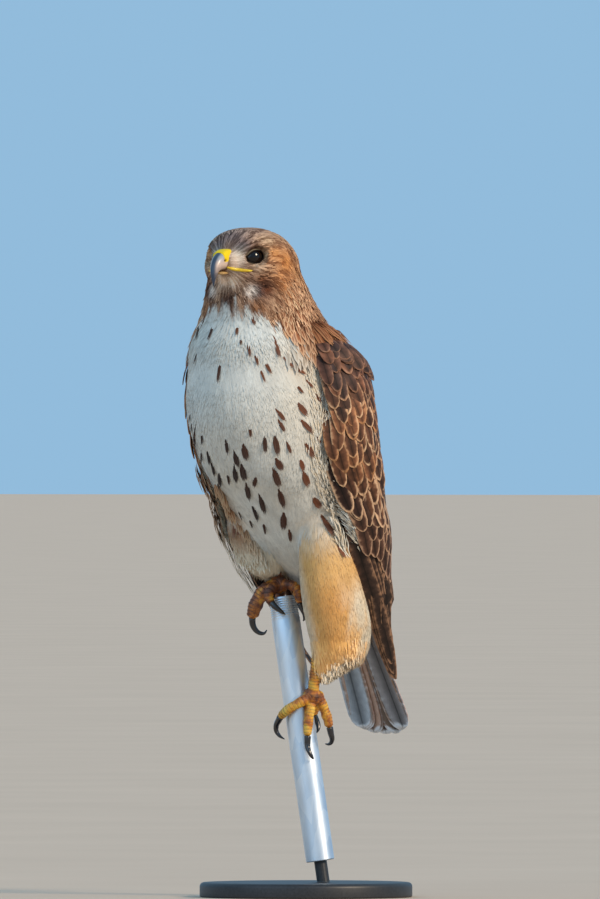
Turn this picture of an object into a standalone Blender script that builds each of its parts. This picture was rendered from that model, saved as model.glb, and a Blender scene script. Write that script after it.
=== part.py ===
"""A red-tailed hawk, life size, gripping a cut length of leaning pipe held by a plain stand.

Metres, +Z up. The bird faces -Y and its left side is +X. The base rests on z = 0.
"""

import math
import random

import bmesh
import bpy
import numpy as np
from mathutils import Matrix, Vector

SEED = 7
FLOOR = 0.0713
GAP = 0.0003
VIEW = math.radians(33)

# Body, as level cuts from vent to crown: height, middle, half width, depth ahead, depth behind
TORSO = (
    (0.345, 0.042, 0.008, 0.008, 0.012),
    (0.354, 0.038, 0.018, 0.018, 0.024),
    (0.372, 0.026, 0.034, 0.032, 0.034),
    (0.3975, 0.012, 0.050, 0.051, 0.041),
    (0.420, 0.002, 0.060, 0.066, 0.045),
    (0.4445, -0.010, 0.069, 0.082, 0.047),
    (0.468, -0.022, 0.074, 0.097, 0.052),
    (0.4915, -0.034, 0.076, 0.103, 0.058),
    (0.515, -0.044, 0.077, 0.105, 0.062),
    (0.5385, -0.054, 0.076, 0.099, 0.063),
    (0.5635, -0.060, 0.073, 0.091, 0.062),
    (0.588, -0.066, 0.069, 0.082, 0.063),
    (0.610, -0.073, 0.060, 0.063, 0.056),
    (0.630, -0.080, 0.051, 0.055, 0.051),
    (0.650, -0.087, 0.045, 0.047, 0.047),
    (0.668, -0.092, 0.036, 0.036, 0.040),
    (0.680, -0.094, 0.020, 0.020, 0.024),
)
TORSO_RINGS = 25
TORSO_SIDES = 24

# Head, as upright cuts from face to nape: place, middle height, half width, height above, height below
HEAD = (
    (-0.1365, 0.6660, 0.0150, 0.0165, 0.0150),
    (-0.132, 0.6663, 0.0220, 0.0210, 0.0200),
    (-0.125, 0.666, 0.0325, 0.0265, 0.0255),
    (-0.116, 0.666, 0.0378, 0.0305, 0.0290),
    (-0.104, 0.6655, 0.0400, 0.0322, 0.0320),
    (-0.092, 0.665, 0.0402, 0.0320, 0.0340),
    (-0.078, 0.664, 0.0385, 0.0298, 0.0350),
    (-0.064, 0.661, 0.0340, 0.0250, 0.0340),
    (-0.053, 0.657, 0.0260, 0.0190, 0.0300),
    (-0.045, 0.653, 0.0145, 0.0120, 0.0200),
    (-0.0415, 0.651, 0.0040, 0.0040, 0.0060),
)
HEAD_RINGS = 16
HEAD_SIDES = 20
HEAD_BOTTOM = (0.0, -0.087, 0.642)
NECK_BOTTOM = (0.0, -0.073, 0.606)
NECK_TILT = math.radians(16)

# Eyes: the middle of the part that shows, the way it looks, its radius
EYE_FACE = (0.0250, -0.1235, 0.6727)
EYE_LOOK = (0.84, -0.53, 0.09)
EYE_RADIUS = 0.0105
EYE_SHOWS = 0.0042
LID_RADIUS = 0.0013
LID_SQUASH = 0.86
LID_SIDES = (16, 6)
BROW_RISE = 0.0096
BROW_SUNK = 0.0022
BROW_HALF = (0.0130, 0.0034, 0.0050)
DISH_OUT = 0.0140
DISH_HALF = (0.0165, 0.0086, 0.0176)

# Bill in side view: top place, top height, bottom place, bottom height, half width
BILL = (
    (-0.1368, 0.6792, -0.1368, 0.6602, 0.0100),
    (-0.1440, 0.6784, -0.1430, 0.6600, 0.0097),
    (-0.1500, 0.6756, -0.1485, 0.6594, 0.0088),
    (-0.1560, 0.6708, -0.1520, 0.6585, 0.0074),
    (-0.1598, 0.6642, -0.1540, 0.6564, 0.0058),
    (-0.1612, 0.6570, -0.1560, 0.6532, 0.0040),
    (-0.1604, 0.6505, -0.1575, 0.6490, 0.0023),
    (-0.1586, 0.6446, -0.1580, 0.6442, 0.0006),
)
CERE_ENDS = 2.0
HORN_STARTS = 2.07
NOSTRIL = (0.0092, -0.1462, 0.6690)
NOSTRIL_HALF = (0.0016, 0.0024, 0.0016)
BILL_SIDES = 14
BILL_POWER = 2.2
BODY_POWER = 2.1
HEAD_POWER = 2.3
JAW = (
    (-0.1368, 0.6594, -0.1368, 0.6535, 0.0092),
    (-0.1440, 0.6592, -0.1440, 0.6524, 0.0080),
    (-0.1495, 0.6584, -0.1495, 0.6530, 0.0058),
    (-0.1522, 0.6572, -0.1522, 0.6545, 0.0030),
)

# Thighs, as level cuts: height, side place, middle, half width, half depth
THIGH_LEFT = (
    (0.2790, 0.027, 0.026, 0.004, 0.006),
    (0.2866, 0.028, 0.022, 0.015, 0.025),
    (0.3016, 0.031, 0.0136, 0.024, 0.040),
    (0.3261, 0.036, 0.0033, 0.029, 0.042),
    (0.3627, 0.038, -0.0137, 0.028, 0.037),
    (0.4069, 0.038, -0.0270, 0.025, 0.028),
    (0.4400, 0.036, -0.0300, 0.020, 0.024),
    (0.4550, 0.034, -0.0300, 0.008, 0.010),
)
THIGH_RIGHT = (
    (0.3735, -0.033, -0.010, 0.006, 0.008),
    (0.3800, -0.035, -0.011, 0.017, 0.022),
    (0.3950, -0.038, -0.012, 0.026, 0.036),
    (0.4150, -0.040, -0.014, 0.030, 0.042),
    (0.4400, -0.040, -0.016, 0.029, 0.040),
    (0.4650, -0.036, -0.020, 0.022, 0.030),
    (0.4800, -0.034, -0.020, 0.008, 0.010),
)
THIGH_RINGS = 11
THIGH_SIDES = 18

# Wing, as level cuts of its outer face: height, then the front, middle and rear points
WING = (
    (0.2720, 0.0440, 0.0930, 0.0440, 0.0935, 0.0430, 0.0945),
    (0.2850, 0.0470, 0.0795, 0.0470, 0.0880, 0.0420, 0.0960),
    (0.3100, 0.0530, 0.0550, 0.0540, 0.0720, 0.0420, 0.0920),
    (0.3374, 0.0600, 0.0270, 0.0620, 0.0550, 0.0380, 0.0880),
    (0.3505, 0.0630, 0.0140, 0.0680, 0.0500, 0.0350, 0.0850),
    (0.3787, 0.0680, -0.0120, 0.0750, 0.0340, 0.0290, 0.0790),
    (0.3985, 0.0700, -0.0285, 0.0800, 0.0270, 0.0230, 0.0740),
    (0.4200, 0.0720, -0.0420, 0.0830, 0.0190, 0.0160, 0.0670),
    (0.4445, 0.0690, -0.0580, 0.0850, 0.0060, 0.0130, 0.0590),
    (0.4680, 0.0700, -0.0750, 0.0895, -0.0050, 0.0150, 0.0530),
    (0.4915, 0.0715, -0.0860, 0.0925, -0.0170, 0.0200, 0.0480),
    (0.5150, 0.0745, -0.0885, 0.0935, -0.0250, 0.0260, 0.0430),
    (0.5348, 0.0745, -0.0900, 0.0930, -0.0310, 0.0320, 0.0380),
    (0.5600, 0.0725, -0.0920, 0.0900, -0.0400, 0.0380, 0.0280),
    (0.5850, 0.0675, -0.0900, 0.0810, -0.0480, 0.0420, 0.0080),
    (0.6030, 0.0600, -0.0850, 0.0660, -0.0580, 0.0480, -0.0190),
)
WING_TOP = 0.603
CORE_FOOT = 0.372
CORE_RINGS = 11
CORE_SPAN = 8
CORE_INSET = 0.02
CORE_UNDER = 0.0055
CORE_THIN = 0.0035
CORE_THICK = 0.0170
VANE_THICK = 0.0012
VANE_THINS = 0.0005
VANE_CREST = 0.10

# Rows of wing feathers: name, count, place ahead, place behind, root ahead, root behind,
# tip ahead, tip behind, half width, lift at the tip, tilt
WING_ROWS = (
    ("primary", 6, 0.06, 0.50, 0.420, 0.415, 0.300, 0.345, 0.0110, -0.0030, 7),
    ("secondary", 7, 0.15, 0.96, 0.460, 0.468, 0.398, 0.345, 0.0140, -0.0010, 7),
    ("greater", 7, 0.08, 0.95, 0.500, 0.510, 0.432, 0.432, 0.0138, 0.0000, 8),
    ("median", 7, 0.075, 0.96, 0.533, 0.540, 0.478, 0.478, 0.0135, 0.0008, 9),
    ("lesser", 6, 0.075, 0.94, 0.566, 0.566, 0.514, 0.514, 0.0150, 0.0014, 9),
    ("shoulder", 5, 0.10, 0.90, 0.594, 0.592, 0.548, 0.548, 0.0140, 0.0020, 9),
    ("scapular_low", 3, 0.74, 0.98, 0.520, 0.520, 0.452, 0.446, 0.0140, 0.0036, 8),
    ("scapular", 3, 0.72, 0.98, 0.566, 0.562, 0.500, 0.490, 0.0150, 0.0042, 8),
)
OUTER_PRIMARY_TIPS = (0.2725, 0.284, 0.298, 0.312, 0.326, 0.340)
CREASED_ROWS = ("primary", "secondary")
RIGHT_WING_TUCK = 0.05
ROOT_SUNK = -0.0105
TIP_STRAY = 0.0025
TILT_STRAY = 1.5
STAGGER = 0.0004

# A vane's outline from root to tip: share of its length, share of its width, share of its rise
LONG_SHAPE = ((0.0, 0.55, 0.0), (0.35, 0.95, 0.55), (0.70, 1.0, 0.85), (0.92, 0.72, 0.97), (1.0, 0.30, 1.0))
SHORT_SHAPE = ((0.0, 0.60, 0.0), (0.50, 1.0, 0.75), (0.86, 0.82, 0.97), (1.0, 0.34, 1.0))

# Tail: where it starts, the way it points, length, spread at root and tip
TAIL_ROOT = (0.0, 0.0247, 0.4126)
TAIL_POINTS = (0.0, 0.1151, -0.1861)
TAIL_LENGTH = 0.2225
TAIL_FEATHERS = 12
TAIL_SPREAD = (0.0090, 0.0235)
TAIL_HALF_WIDTH = 0.0125
TAIL_STEP = 0.0011
TAIL_CROWN = 0.002
TAIL_ROLL = math.radians(5)
TAIL_OUTER_SHORT = 0.010
TAIL_SIDES = 14
TAIL_SHAPE = ((0.12, 0.45), (0.40, 0.75), (0.70, 0.95), (0.94, 1.0), (1.0, 0.62))
TAIL_COVERTS = (
    (0.000, 0.0240, 0.0160),
    (0.030, 0.0265, 0.0150),
    (0.060, 0.0255, 0.0110),
    (0.085, 0.0230, 0.0075),
    (0.105, 0.0190, 0.0045),
    (0.120, 0.0110, 0.0022),
)

# Pipe: its top and bottom, radius, bore, depth of the open end, threads
PIPE_TOP = (-0.0220, -0.0067, 0.3540)
PIPE_BOTTOM = (0.0079, 0.0126, 0.1053)
PIPE_RADIUS = 0.01335
PIPE_BORE = 0.0105
PIPE_BORE_DEPTH = 0.014
PIPE_SIDES = 22
THREADS = 9
THREAD_PITCH = 0.0022
THREAD_DEPTH = 0.0009
PIPE_EDGE = 0.0008
ROD_RADIUS = 0.0060
BASE_RADIUS = 0.100
BASE_HEIGHT = 0.014
BASE_EDGE = 0.0025

# Feet: the ball of the foot, and each toe and claw as stations of
# distance down the pipe, degrees round it from camera right, distance from its axis
BALL_RADIUS = 0.0088
BALL_LEFT = (0.0085, -0.0025, 0.2600)
BALL_RIGHT = (-0.0235, -0.0105, 0.3650)
TOES_LEFT = {
    "inner": ((0.096, 40, 0.0200), (0.100, 75, 0.0186), (0.105, 115, 0.0182), (0.1105, 150, 0.0190),
              (0.1150, 169, 0.0205), (0.1190, 180, 0.0228), (0.1245, 185, 0.0238), (0.1298, 183, 0.0212),
              (0.1335, 176, 0.0168)),
    "middle": ((0.0975, 45, 0.0200), (0.108, 55, 0.0190), (0.120, 66, 0.0183), (0.132, 74, 0.0180),
               (0.1425, 79, 0.0182), (0.1475, 78, 0.0200), (0.1515, 75, 0.0208), (0.1545, 70, 0.0195),
               (0.1555, 66, 0.0168)),
    "outer": ((0.0965, 22, 0.0212), (0.107, 14, 0.0235), (0.118, 6, 0.0255), (0.129, 2, 0.0265),
              (0.1345, 0, 0.0268), (0.1390, -3, 0.0272), (0.1425, -8, 0.0262), (0.1440, -14, 0.0238),
              (0.1430, -20, 0.0210)),
    "hind": ((0.0965, 8, 0.0205), (0.1005, -12, 0.0205), (0.1055, -28, 0.0195), (0.1105, -40, 0.0188),
             (0.1145, -46, 0.0192), (0.1195, -46, 0.0212), (0.1245, -43, 0.0218), (0.1290, -40, 0.0200),
             (0.1320, -38, 0.0170)),
}
TOES_RIGHT = {
    "inner": ((-0.0110, 118, 0.0060), (-0.0100, 126, 0.0120), (-0.0070, 131, 0.0170), (-0.0020, 132, 0.0192),
              (0.0020, 128, 0.0197), (0.0060, 120, 0.0199), (0.0100, 111, 0.0196), (0.0140, 100, 0.0184),
              (0.0175, 88, 0.0165)),
    "middle": ((-0.0110, 60, 0.0070), (-0.0095, 48, 0.0130), (-0.0050, 40, 0.0182), (0.0030, 36, 0.0192),
               (0.0100, 34, 0.0188), (0.0150, 31, 0.0200), (0.0195, 28, 0.0206), (0.0235, 24, 0.0192),
               (0.0260, 20, 0.0168)),
    "outer": ((-0.0100, 165, 0.0080), (-0.0075, 164, 0.0165), (0.0010, 168, 0.0245), (0.0120, 173, 0.0300),
              (0.0210, 178, 0.0315), (0.0270, 180, 0.0300), (0.0310, 180, 0.0265), (0.0320, 177, 0.0220),
              (0.0290, 172, 0.0190)),
    "hind": ((-0.0110, -70, 0.0070), (-0.0095, -84, 0.0130), (-0.0050, -94, 0.0182), (0.0030, -98, 0.0192),
             (0.0100, -100, 0.0188), (0.0150, -103, 0.0202), (0.0200, -104, 0.0208), (0.0245, -102, 0.0192),
             (0.0270, -98, 0.0168)),
}
TOE_SHARE = 0.60
STOUT_TOES = {"foot_right_outer": 1.28}
TOE_RADIUS = (0.0052, 0.0048, 0.0051, 0.0044, 0.0048, 0.0041, 0.0036)
CLAW_RADIUS = (0.0033, 0.0030, 0.0025, 0.0018, 0.0004)
TOE_SIDES = 8
CLAW_SIDES = 7

# Shins: top, bottom, radius at each
SHIN_LEFT = ((0.0205, -0.0105, 0.3080), (0.0105, -0.0040, 0.2630), 0.0050, 0.0056)
SHIN_RIGHT = ((-0.0300, -0.0060, 0.3960), (-0.0245, -0.0095, 0.3680), 0.0052, 0.0056)

# Materials: colour, roughness, metallic
MATERIALS = {
    "plumage_brown": ((0.120, 0.070, 0.040), 0.85, 0.0),
    "plumage_pale": ((0.720, 0.680, 0.600), 0.85, 0.0),
    "plumage_gold": ((0.600, 0.380, 0.180), 0.85, 0.0),
    "plumage_head": ((0.260, 0.140, 0.075), 0.85, 0.0),
    "eye_dark": ((0.012, 0.006, 0.004), 0.08, 0.0),
    "skin_yellow": ((0.720, 0.430, 0.060), 0.55, 0.0),
    "horn_dark": ((0.020, 0.020, 0.022), 0.30, 0.0),
    "horn_grey": ((0.180, 0.190, 0.220), 0.35, 0.0),
    "galvanised": ((0.560, 0.600, 0.640), 0.42, 1.0),
    "stand_black": ((0.030, 0.030, 0.032), 0.55, 0.0),
}


def unit(vector):
    vector = np.asarray(vector, float)
    return vector / np.linalg.norm(vector)


def curve(table, at):
    """The row of numbers at this place along a table, smoothly between its rows."""
    rows = np.asarray(table, float)
    last = len(rows) - 1
    at = min(max(at, 0.0), float(last))
    i = min(int(at), last - 1)
    f = at - i
    before = rows[max(i - 1, 0)]
    after = rows[min(i + 2, last)]
    start = (rows[i + 1] - before) / (2 if i > 0 else 1)
    end = (after - rows[i]) / (2 if i + 2 <= last else 1)
    return (
        rows[i] * (2 * f**3 - 3 * f**2 + 1)
        + start * (f**3 - 2 * f**2 + f)
        + rows[i + 1] * (3 * f**2 - 2 * f**3)
        + end * (f**3 - f**2)
    )


def place_in(table, value):
    """Where a value of the first column lies along a table."""
    low, high = 0.0, float(len(table) - 1)
    rising = table[-1][0] > table[0][0]
    for _ in range(40):
        middle = (low + high) / 2
        if (curve(table, middle)[0] < value) == rising:
            low = middle
        else:
            high = middle
    return (low + high) / 2


def rounded(angle, power):
    """Cosine and sine of a superellipse."""
    c, s = math.cos(angle), math.sin(angle)
    return (
        math.copysign(abs(c) ** (2 / power), c),
        math.copysign(abs(s) ** (2 / power), s),
    )


def torso_ring(at, sides, grow=0.0):
    height, middle, width, ahead, behind = curve(TORSO, at)
    ring = []
    for k in range(sides):
        c, s = rounded(2 * math.pi * k / sides, BODY_POWER)
        depth = (behind if s > 0 else ahead) + grow
        ring.append(((width + grow) * c, middle + depth * s, height))
    return ring


def head_ring(at, sides, grow=0.0):
    place, height, width, up, down = curve(HEAD, at)
    ring = []
    for k in range(sides):
        c, s = rounded(2 * math.pi * k / sides, HEAD_POWER)
        ring.append(((width + grow) * c, place, height + ((up if s > 0 else down) + grow) * s))
    return ring


def thigh_ring(table, at, sides, grow=0.0):
    height, side, middle, width, depth = curve(table, at)
    ring = []
    for k in range(sides):
        c, s = rounded(2 * math.pi * k / sides, BODY_POWER)
        ring.append((side + (width + grow) * c, middle + (depth + grow) * s, height))
    return ring


def new_object(name, points, faces, collection):
    mesh = bpy.data.meshes.new(name)
    mesh.from_pydata([tuple(p) for p in points], [], faces)
    form = bmesh.new()
    form.from_mesh(mesh)
    bmesh.ops.recalc_face_normals(form, faces=form.faces)
    if form.calc_volume(signed=True) < 0:
        bmesh.ops.reverse_faces(form, faces=form.faces)
    form.to_mesh(mesh)
    form.free()
    made = bpy.data.objects.new(name, mesh)
    collection.objects.link(made)
    return made


def loft(name, rings, collection):
    """A closed body through rings of equal count, each end closed by a fan."""
    sides = len(rings[0])
    points = [p for ring in rings for p in ring]
    faces = []
    for r in range(len(rings) - 1):
        for k in range(sides):
            a = r * sides + k
            b = r * sides + (k + 1) % sides
            faces.append((a, b, b + sides, a + sides))
    for r in (0, len(rings) - 1):
        middle = np.mean(np.asarray(rings[r], float), axis=0)
        points.append(tuple(middle))
        hub = len(points) - 1
        for k in range(sides):
            faces.append((r * sides + k, r * sides + (k + 1) % sides, hub))
    return new_object(name, points, faces, collection)


def tube(name, path, radii, sides, collection, first=None, last=None):
    """A round tube along a path, its rings square to it, or its end rings to the ways given."""
    path = np.asarray(path, float)
    rings = []
    side = None
    for i, centre in enumerate(path):
        along = unit(path[min(i + 1, len(path) - 1)] - path[max(i - 1, 0)])
        if i == 0 and first is not None:
            along = first
        if i == len(path) - 1 and last is not None:
            along = last
        if side is None:
            side = unit(np.cross(along, (0.31, 0.52, 0.79)))
        side = unit(side - along * np.dot(side, along))
        other = np.cross(along, side)
        rings.append([
            centre + radii[i] * (math.cos(a) * side + math.sin(a) * other)
            for a in (2 * math.pi * k / sides for k in range(sides))
        ])
    return loft(name, rings, collection)


def ball(name, centre, radii, axes, collection, across=14, down=8):
    """An ellipsoid whose half sizes lie along three axes."""
    place = Matrix.Identity(4)
    for column in range(3):
        for row in range(3):
            place[row][column] = float(axes[column][row] * radii[column])
    place.translation = Vector([float(c) for c in centre])
    form = bmesh.new()
    bmesh.ops.create_uvsphere(form, u_segments=across, v_segments=down, radius=1.0, matrix=place)
    bmesh.ops.recalc_face_normals(form, faces=form.faces)
    mesh = bpy.data.meshes.new(name)
    form.to_mesh(mesh)
    form.free()
    made = bpy.data.objects.new(name, mesh)
    collection.objects.link(made)
    return made


def cylinder(name, radius, length, sides, collection):
    """A cylinder about Z, from its bottom at the origin up."""
    form = bmesh.new()
    bmesh.ops.create_cone(
        form, cap_ends=True, segments=sides, radius1=radius, radius2=radius, depth=length,
        matrix=Matrix.Translation((0, 0, length / 2)),
    )
    mesh = bpy.data.meshes.new(name)
    form.to_mesh(mesh)
    form.free()
    made = bpy.data.objects.new(name, mesh)
    collection.objects.link(made)
    return made


def stand_on_pipe_line(obj, down_by):
    """Turns an object's Z to run up the pipe's axis, its origin this far down from the pipe's top."""
    top, down, right, near = pipe_frame()
    turn = Matrix((right, np.cross(-down, right), -down)).transposed().to_4x4()
    obj.matrix_world = Matrix.Translation(Vector(top + down * down_by)) @ turn


def copy_of(obj, name, collection):
    made = obj.copy()
    made.data = obj.data.copy()
    made.name = name
    collection.objects.link(made)
    return made


def remove(obj):
    bpy.data.objects.remove(obj, do_unlink=True)


def apply_boolean(obj, operation, solver, other=None, collection=None):
    modifier = obj.modifiers.new("cut", "BOOLEAN")
    modifier.operation = operation
    modifier.solver = solver
    if other is not None:
        modifier.object = other
    else:
        modifier.operand_type = "COLLECTION"
        modifier.collection = collection
    graph = bpy.context.evaluated_depsgraph_get()
    result = bpy.data.meshes.new_from_object(obj.evaluated_get(graph))
    obj.modifiers.clear()
    old = obj.data
    obj.data = result
    bpy.data.meshes.remove(old)


def cut(obj, *others):
    for other in others:
        apply_boolean(obj, "DIFFERENCE", "MANIFOLD", other=other)


def join_all(obj, pieces):
    """One closed body of the object and the pieces, which are removed."""
    group = bpy.data.collections.new("pieces")
    bpy.context.scene.collection.children.link(group)
    for piece in pieces:
        for home in list(piece.users_collection):
            home.objects.unlink(piece)
        group.objects.link(piece)
    bpy.context.view_layer.update()
    apply_boolean(obj, "UNION", "MANIFOLD", collection=group)
    for piece in pieces:
        remove(piece)
    bpy.data.collections.remove(group)


def keep_largest(obj):
    """Leaves only the largest closed surface."""
    form = bmesh.new()
    form.from_mesh(obj.data)
    form.faces.ensure_lookup_table()
    seen = set()
    groups = []
    for face in form.faces:
        if face.index in seen:
            continue
        group = []
        stack = [face]
        seen.add(face.index)
        while stack:
            at = stack.pop()
            group.append(at)
            for edge in at.edges:
                for near in edge.link_faces if len(edge.link_faces) == 2 else ():
                    if near.index not in seen:
                        seen.add(near.index)
                        stack.append(near)
        groups.append(group)
    groups.sort(key=lambda group: sum(f.calc_area() for f in group), reverse=True)
    for group in groups[1:]:
        bmesh.ops.delete(form, geom=group, context="FACES")
    loose = [v for v in form.verts if not v.link_faces]
    bmesh.ops.delete(form, geom=loose, context="VERTS")
    form.to_mesh(obj.data)
    form.free()


def halve(obj, point, normal):
    """Keeps the side of a plane that the normal points away from, and closes the cut."""
    form = bmesh.new()
    form.from_mesh(obj.data)
    geometry = form.verts[:] + form.edges[:] + form.faces[:]
    cut_through = bmesh.ops.bisect_plane(
        form, geom=geometry, dist=1e-7, plane_co=point, plane_no=normal, clear_outer=True
    )
    edges = [e for e in cut_through["geom_cut"] if isinstance(e, bmesh.types.BMEdge)]
    bmesh.ops.holes_fill(form, edges=edges, sides=0)
    bmesh.ops.triangulate(form, faces=[f for f in form.faces if len(f.verts) > 4])
    bmesh.ops.recalc_face_normals(form, faces=form.faces)
    form.to_mesh(obj.data)
    form.free()


def wing_point(height, across):
    """A point of the wing's outer face, from its front edge at 0 to its rear edge at 1."""
    row = curve(WING, place_in(WING, height))
    t = across
    weights = ((1 - t) * (1 - 2 * t), 4 * t * (1 - t), t * (2 * t - 1))
    x = weights[0] * row[1] + weights[1] * row[3] + weights[2] * row[5]
    y = weights[0] * row[2] + weights[1] * row[4] + weights[2] * row[6]
    return np.array((x, y, height))


def wing_frame(height, across):
    """The outer face's point, the way back across it, the way down it and the way out of it."""
    step = 0.004
    high = min(height + step, WING_TOP)
    low = max(height - step, WING[0][0])
    centre = wing_point(height, across)
    down = unit(wing_point(low, across) - wing_point(high, across))
    near = wing_point(height, max(across - 0.03, 0.0))
    far = wing_point(height, min(across + 0.03, 1.0))
    back = unit(far - near)
    out = unit(np.cross(down, back))
    if np.dot(out[:2], (centre[0], centre[1] - 0.01)) < 0:
        out = -out
    return centre, unit(back - down * np.dot(back, down)), down, out


def vane(name, stations, creased, collection):
    """A closed tapering vane through stations of centre, side, out, half width and thickness."""
    line = ((-1, 0.0), (0, VANE_CREST), (1, 0.0)) if creased else ((-1, 0.0), (1, 0.0))
    round_it = 2 * len(line)
    points = []
    faces = []
    for centre, side, out, half, thick in stations:
        for place, crest in line:
            points.append(centre + side * half * place + out * (crest * half + thick / 2))
        for place, crest in reversed(line):
            points.append(centre + side * half * place + out * (crest * half - thick / 2))
    for i in range(len(stations) - 1):
        a = round_it * i
        b = a + round_it
        for k in range(round_it):
            n = (k + 1) % round_it
            if k < len(line) - 1:
                faces += [(a + k, a + n, b + n), (a + k, b + n, b + k)]
            else:
                faces += [(a + k, a + n, b + k), (a + n, b + n, b + k)]
    for base in (0, round_it * (len(stations) - 1)):
        for k in range(len(line) - 1):
            far = base + round_it - 1 - k
            faces.append((base + k, base + k + 1, far - 1, far))
    return new_object(name, points, faces, collection)


def wing_vane(name, across, root, tip, half, lift, tilt, creased, side_sign, collection):
    """One wing feather, lying on the outer face from its root down to its tip."""
    stations = []
    for f, wide, rise in LONG_SHAPE if creased else SHORT_SHAPE:
        height = root + (tip - root) * f
        centre, back, down, out = wing_frame(height, across + 0.02 * f)
        angle = math.radians(tilt)
        side = back * math.cos(angle) + out * math.sin(angle)
        face = out * math.cos(angle) - back * math.sin(angle)
        centre = centre + out * (ROOT_SUNK + (lift - ROOT_SUNK) * rise)
        mirror = np.array((side_sign, 1, 1))
        thick = VANE_THICK - VANE_THINS * f
        stations.append((centre * mirror, side * mirror, face * mirror, half * wide, thick))
    return vane(name, stations, creased, collection)


def wing_core(name, side_sign, collection):
    """The flesh and small feathers under the wing's rows, thinning to nothing behind them."""
    rings = []
    for r in range(CORE_RINGS):
        f = r / (CORE_RINGS - 1)
        height = CORE_FOOT + (WING_TOP - CORE_FOOT) * f
        thick = CORE_THIN + (CORE_THICK - CORE_THIN) * math.sin(math.pi * min(f * 1.25, 0.5))
        outer = []
        inner = []
        for k in range(CORE_SPAN + 1):
            across = CORE_INSET + (1 - 2 * CORE_INSET) * k / CORE_SPAN
            centre, back, down, out = wing_frame(height, across)
            outer.append(centre - out * CORE_UNDER)
            inner.append(centre - out * (CORE_UNDER + thick))
        ring = outer + inner[::-1]
        rings.append([np.array((side_sign, 1, 1)) * p for p in ring])
    return loft(name, rings, collection)


def build_wing(name, side_sign, tuck, collection, cutters):
    """A folded wing. A tucked one has its front feathers set further back."""
    rng = random.Random(SEED)
    pieces = []
    for row, count, ahead, behind, root0, root1, tip0, tip1, half, lift, tilt in WING_ROWS:
        for i in range(count):
            f = i / (count - 1)
            across = ahead + (behind - ahead) * f + tuck * (1 - f)
            root = root0 + (root1 - root0) * f
            tip = tip0 + (tip1 - tip0) * f
            if row == "primary":
                tip = OUTER_PRIMARY_TIPS[i]
            tip += rng.uniform(-TIP_STRAY, TIP_STRAY)
            raised = lift + STAGGER * (i % 2)
            turned = tilt + rng.uniform(-TILT_STRAY, TILT_STRAY)
            pieces.append(wing_vane(
                f"{row}_{i}", across, root, tip, half, raised, turned,
                row in CREASED_ROWS, side_sign, collection,
            ))
    wing = wing_core(name, side_sign, collection)
    join_all(wing, pieces)
    cut(wing, *cutters)
    keep_largest(wing)
    return wing


def build_tail(collection, cutters):
    root = np.array(TAIL_ROOT)
    along = unit(TAIL_POINTS)
    side = np.array((1.0, 0.0, 0.0))
    out = unit(np.cross(side, along))
    rings = []
    for s, wide, deep in TAIL_COVERTS:
        ring = []
        for k in range(TAIL_SIDES):
            a = 2 * math.pi * k / TAIL_SIDES
            ring.append(root + along * s + side * wide * math.cos(a) + out * deep * math.sin(a))
        rings.append(ring)
    tail = loft("tail", rings, collection)
    pieces = []
    for i in range(TAIL_FEATHERS):
        place = (i - (TAIL_FEATHERS - 1) / 2) / ((TAIL_FEATHERS - 1) / 2)
        length = TAIL_LENGTH - TAIL_OUTER_SHORT * place**2
        stations = []
        for f, wide in TAIL_SHAPE:
            spread = TAIL_SPREAD[0] + (TAIL_SPREAD[1] - TAIL_SPREAD[0]) * f
            drop = TAIL_CROWN - TAIL_STEP * abs(i - (TAIL_FEATHERS - 1) / 2) * f
            centre = root + along * length * f + side * place * spread + out * drop
            roll = -math.copysign(TAIL_ROLL, place)
            flat = side * math.cos(roll) + out * math.sin(roll)
            face = out * math.cos(roll) - side * math.sin(roll)
            thick = VANE_THICK - VANE_THINS * f
            stations.append((centre, flat, face, TAIL_HALF_WIDTH * wide, thick))
        pieces.append(vane(f"tail_{i}", stations, False, collection))
    join_all(tail, pieces)
    cut(tail, *cutters)
    keep_largest(tail)
    return tail


def pipe_frame():
    top = np.array(PIPE_TOP)
    down = unit(np.array(PIPE_BOTTOM) - top)
    right = np.array((math.cos(VIEW), math.sin(VIEW), 0.0))
    right = unit(right - down * np.dot(right, down))
    near = np.cross(down, right)
    if np.dot(near, (math.sin(VIEW), -math.cos(VIEW), 0)) < 0:
        near = -near
    return top, down, right, near


def on_pipe(down_by, degrees, distance):
    top, down, right, near = pipe_frame()
    angle = math.radians(degrees)
    return top + down * down_by + distance * (math.cos(angle) * right + math.sin(angle) * near)


def resample(points, start, end, count):
    """Evenly spaced points of a smooth path between two lengths along it."""
    fine = np.array([curve(points, a) for a in np.linspace(0, len(points) - 1, 160)])
    steps = np.linalg.norm(np.diff(fine, axis=0), axis=1)
    lengths = np.concatenate([[0], np.cumsum(steps)])
    wanted = np.linspace(start, end if end > 0 else lengths[-1] + end, count)
    return np.array([[np.interp(w, lengths, fine[:, k]) for k in range(3)] for w in wanted])


def path_length(points):
    fine = np.array([curve(points, a) for a in np.linspace(0, len(points) - 1, 160)])
    return float(np.linalg.norm(np.diff(fine, axis=0), axis=1).sum())


def pipe_length():
    return float(np.linalg.norm(np.array(PIPE_BOTTOM) - np.array(PIPE_TOP)))


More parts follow.
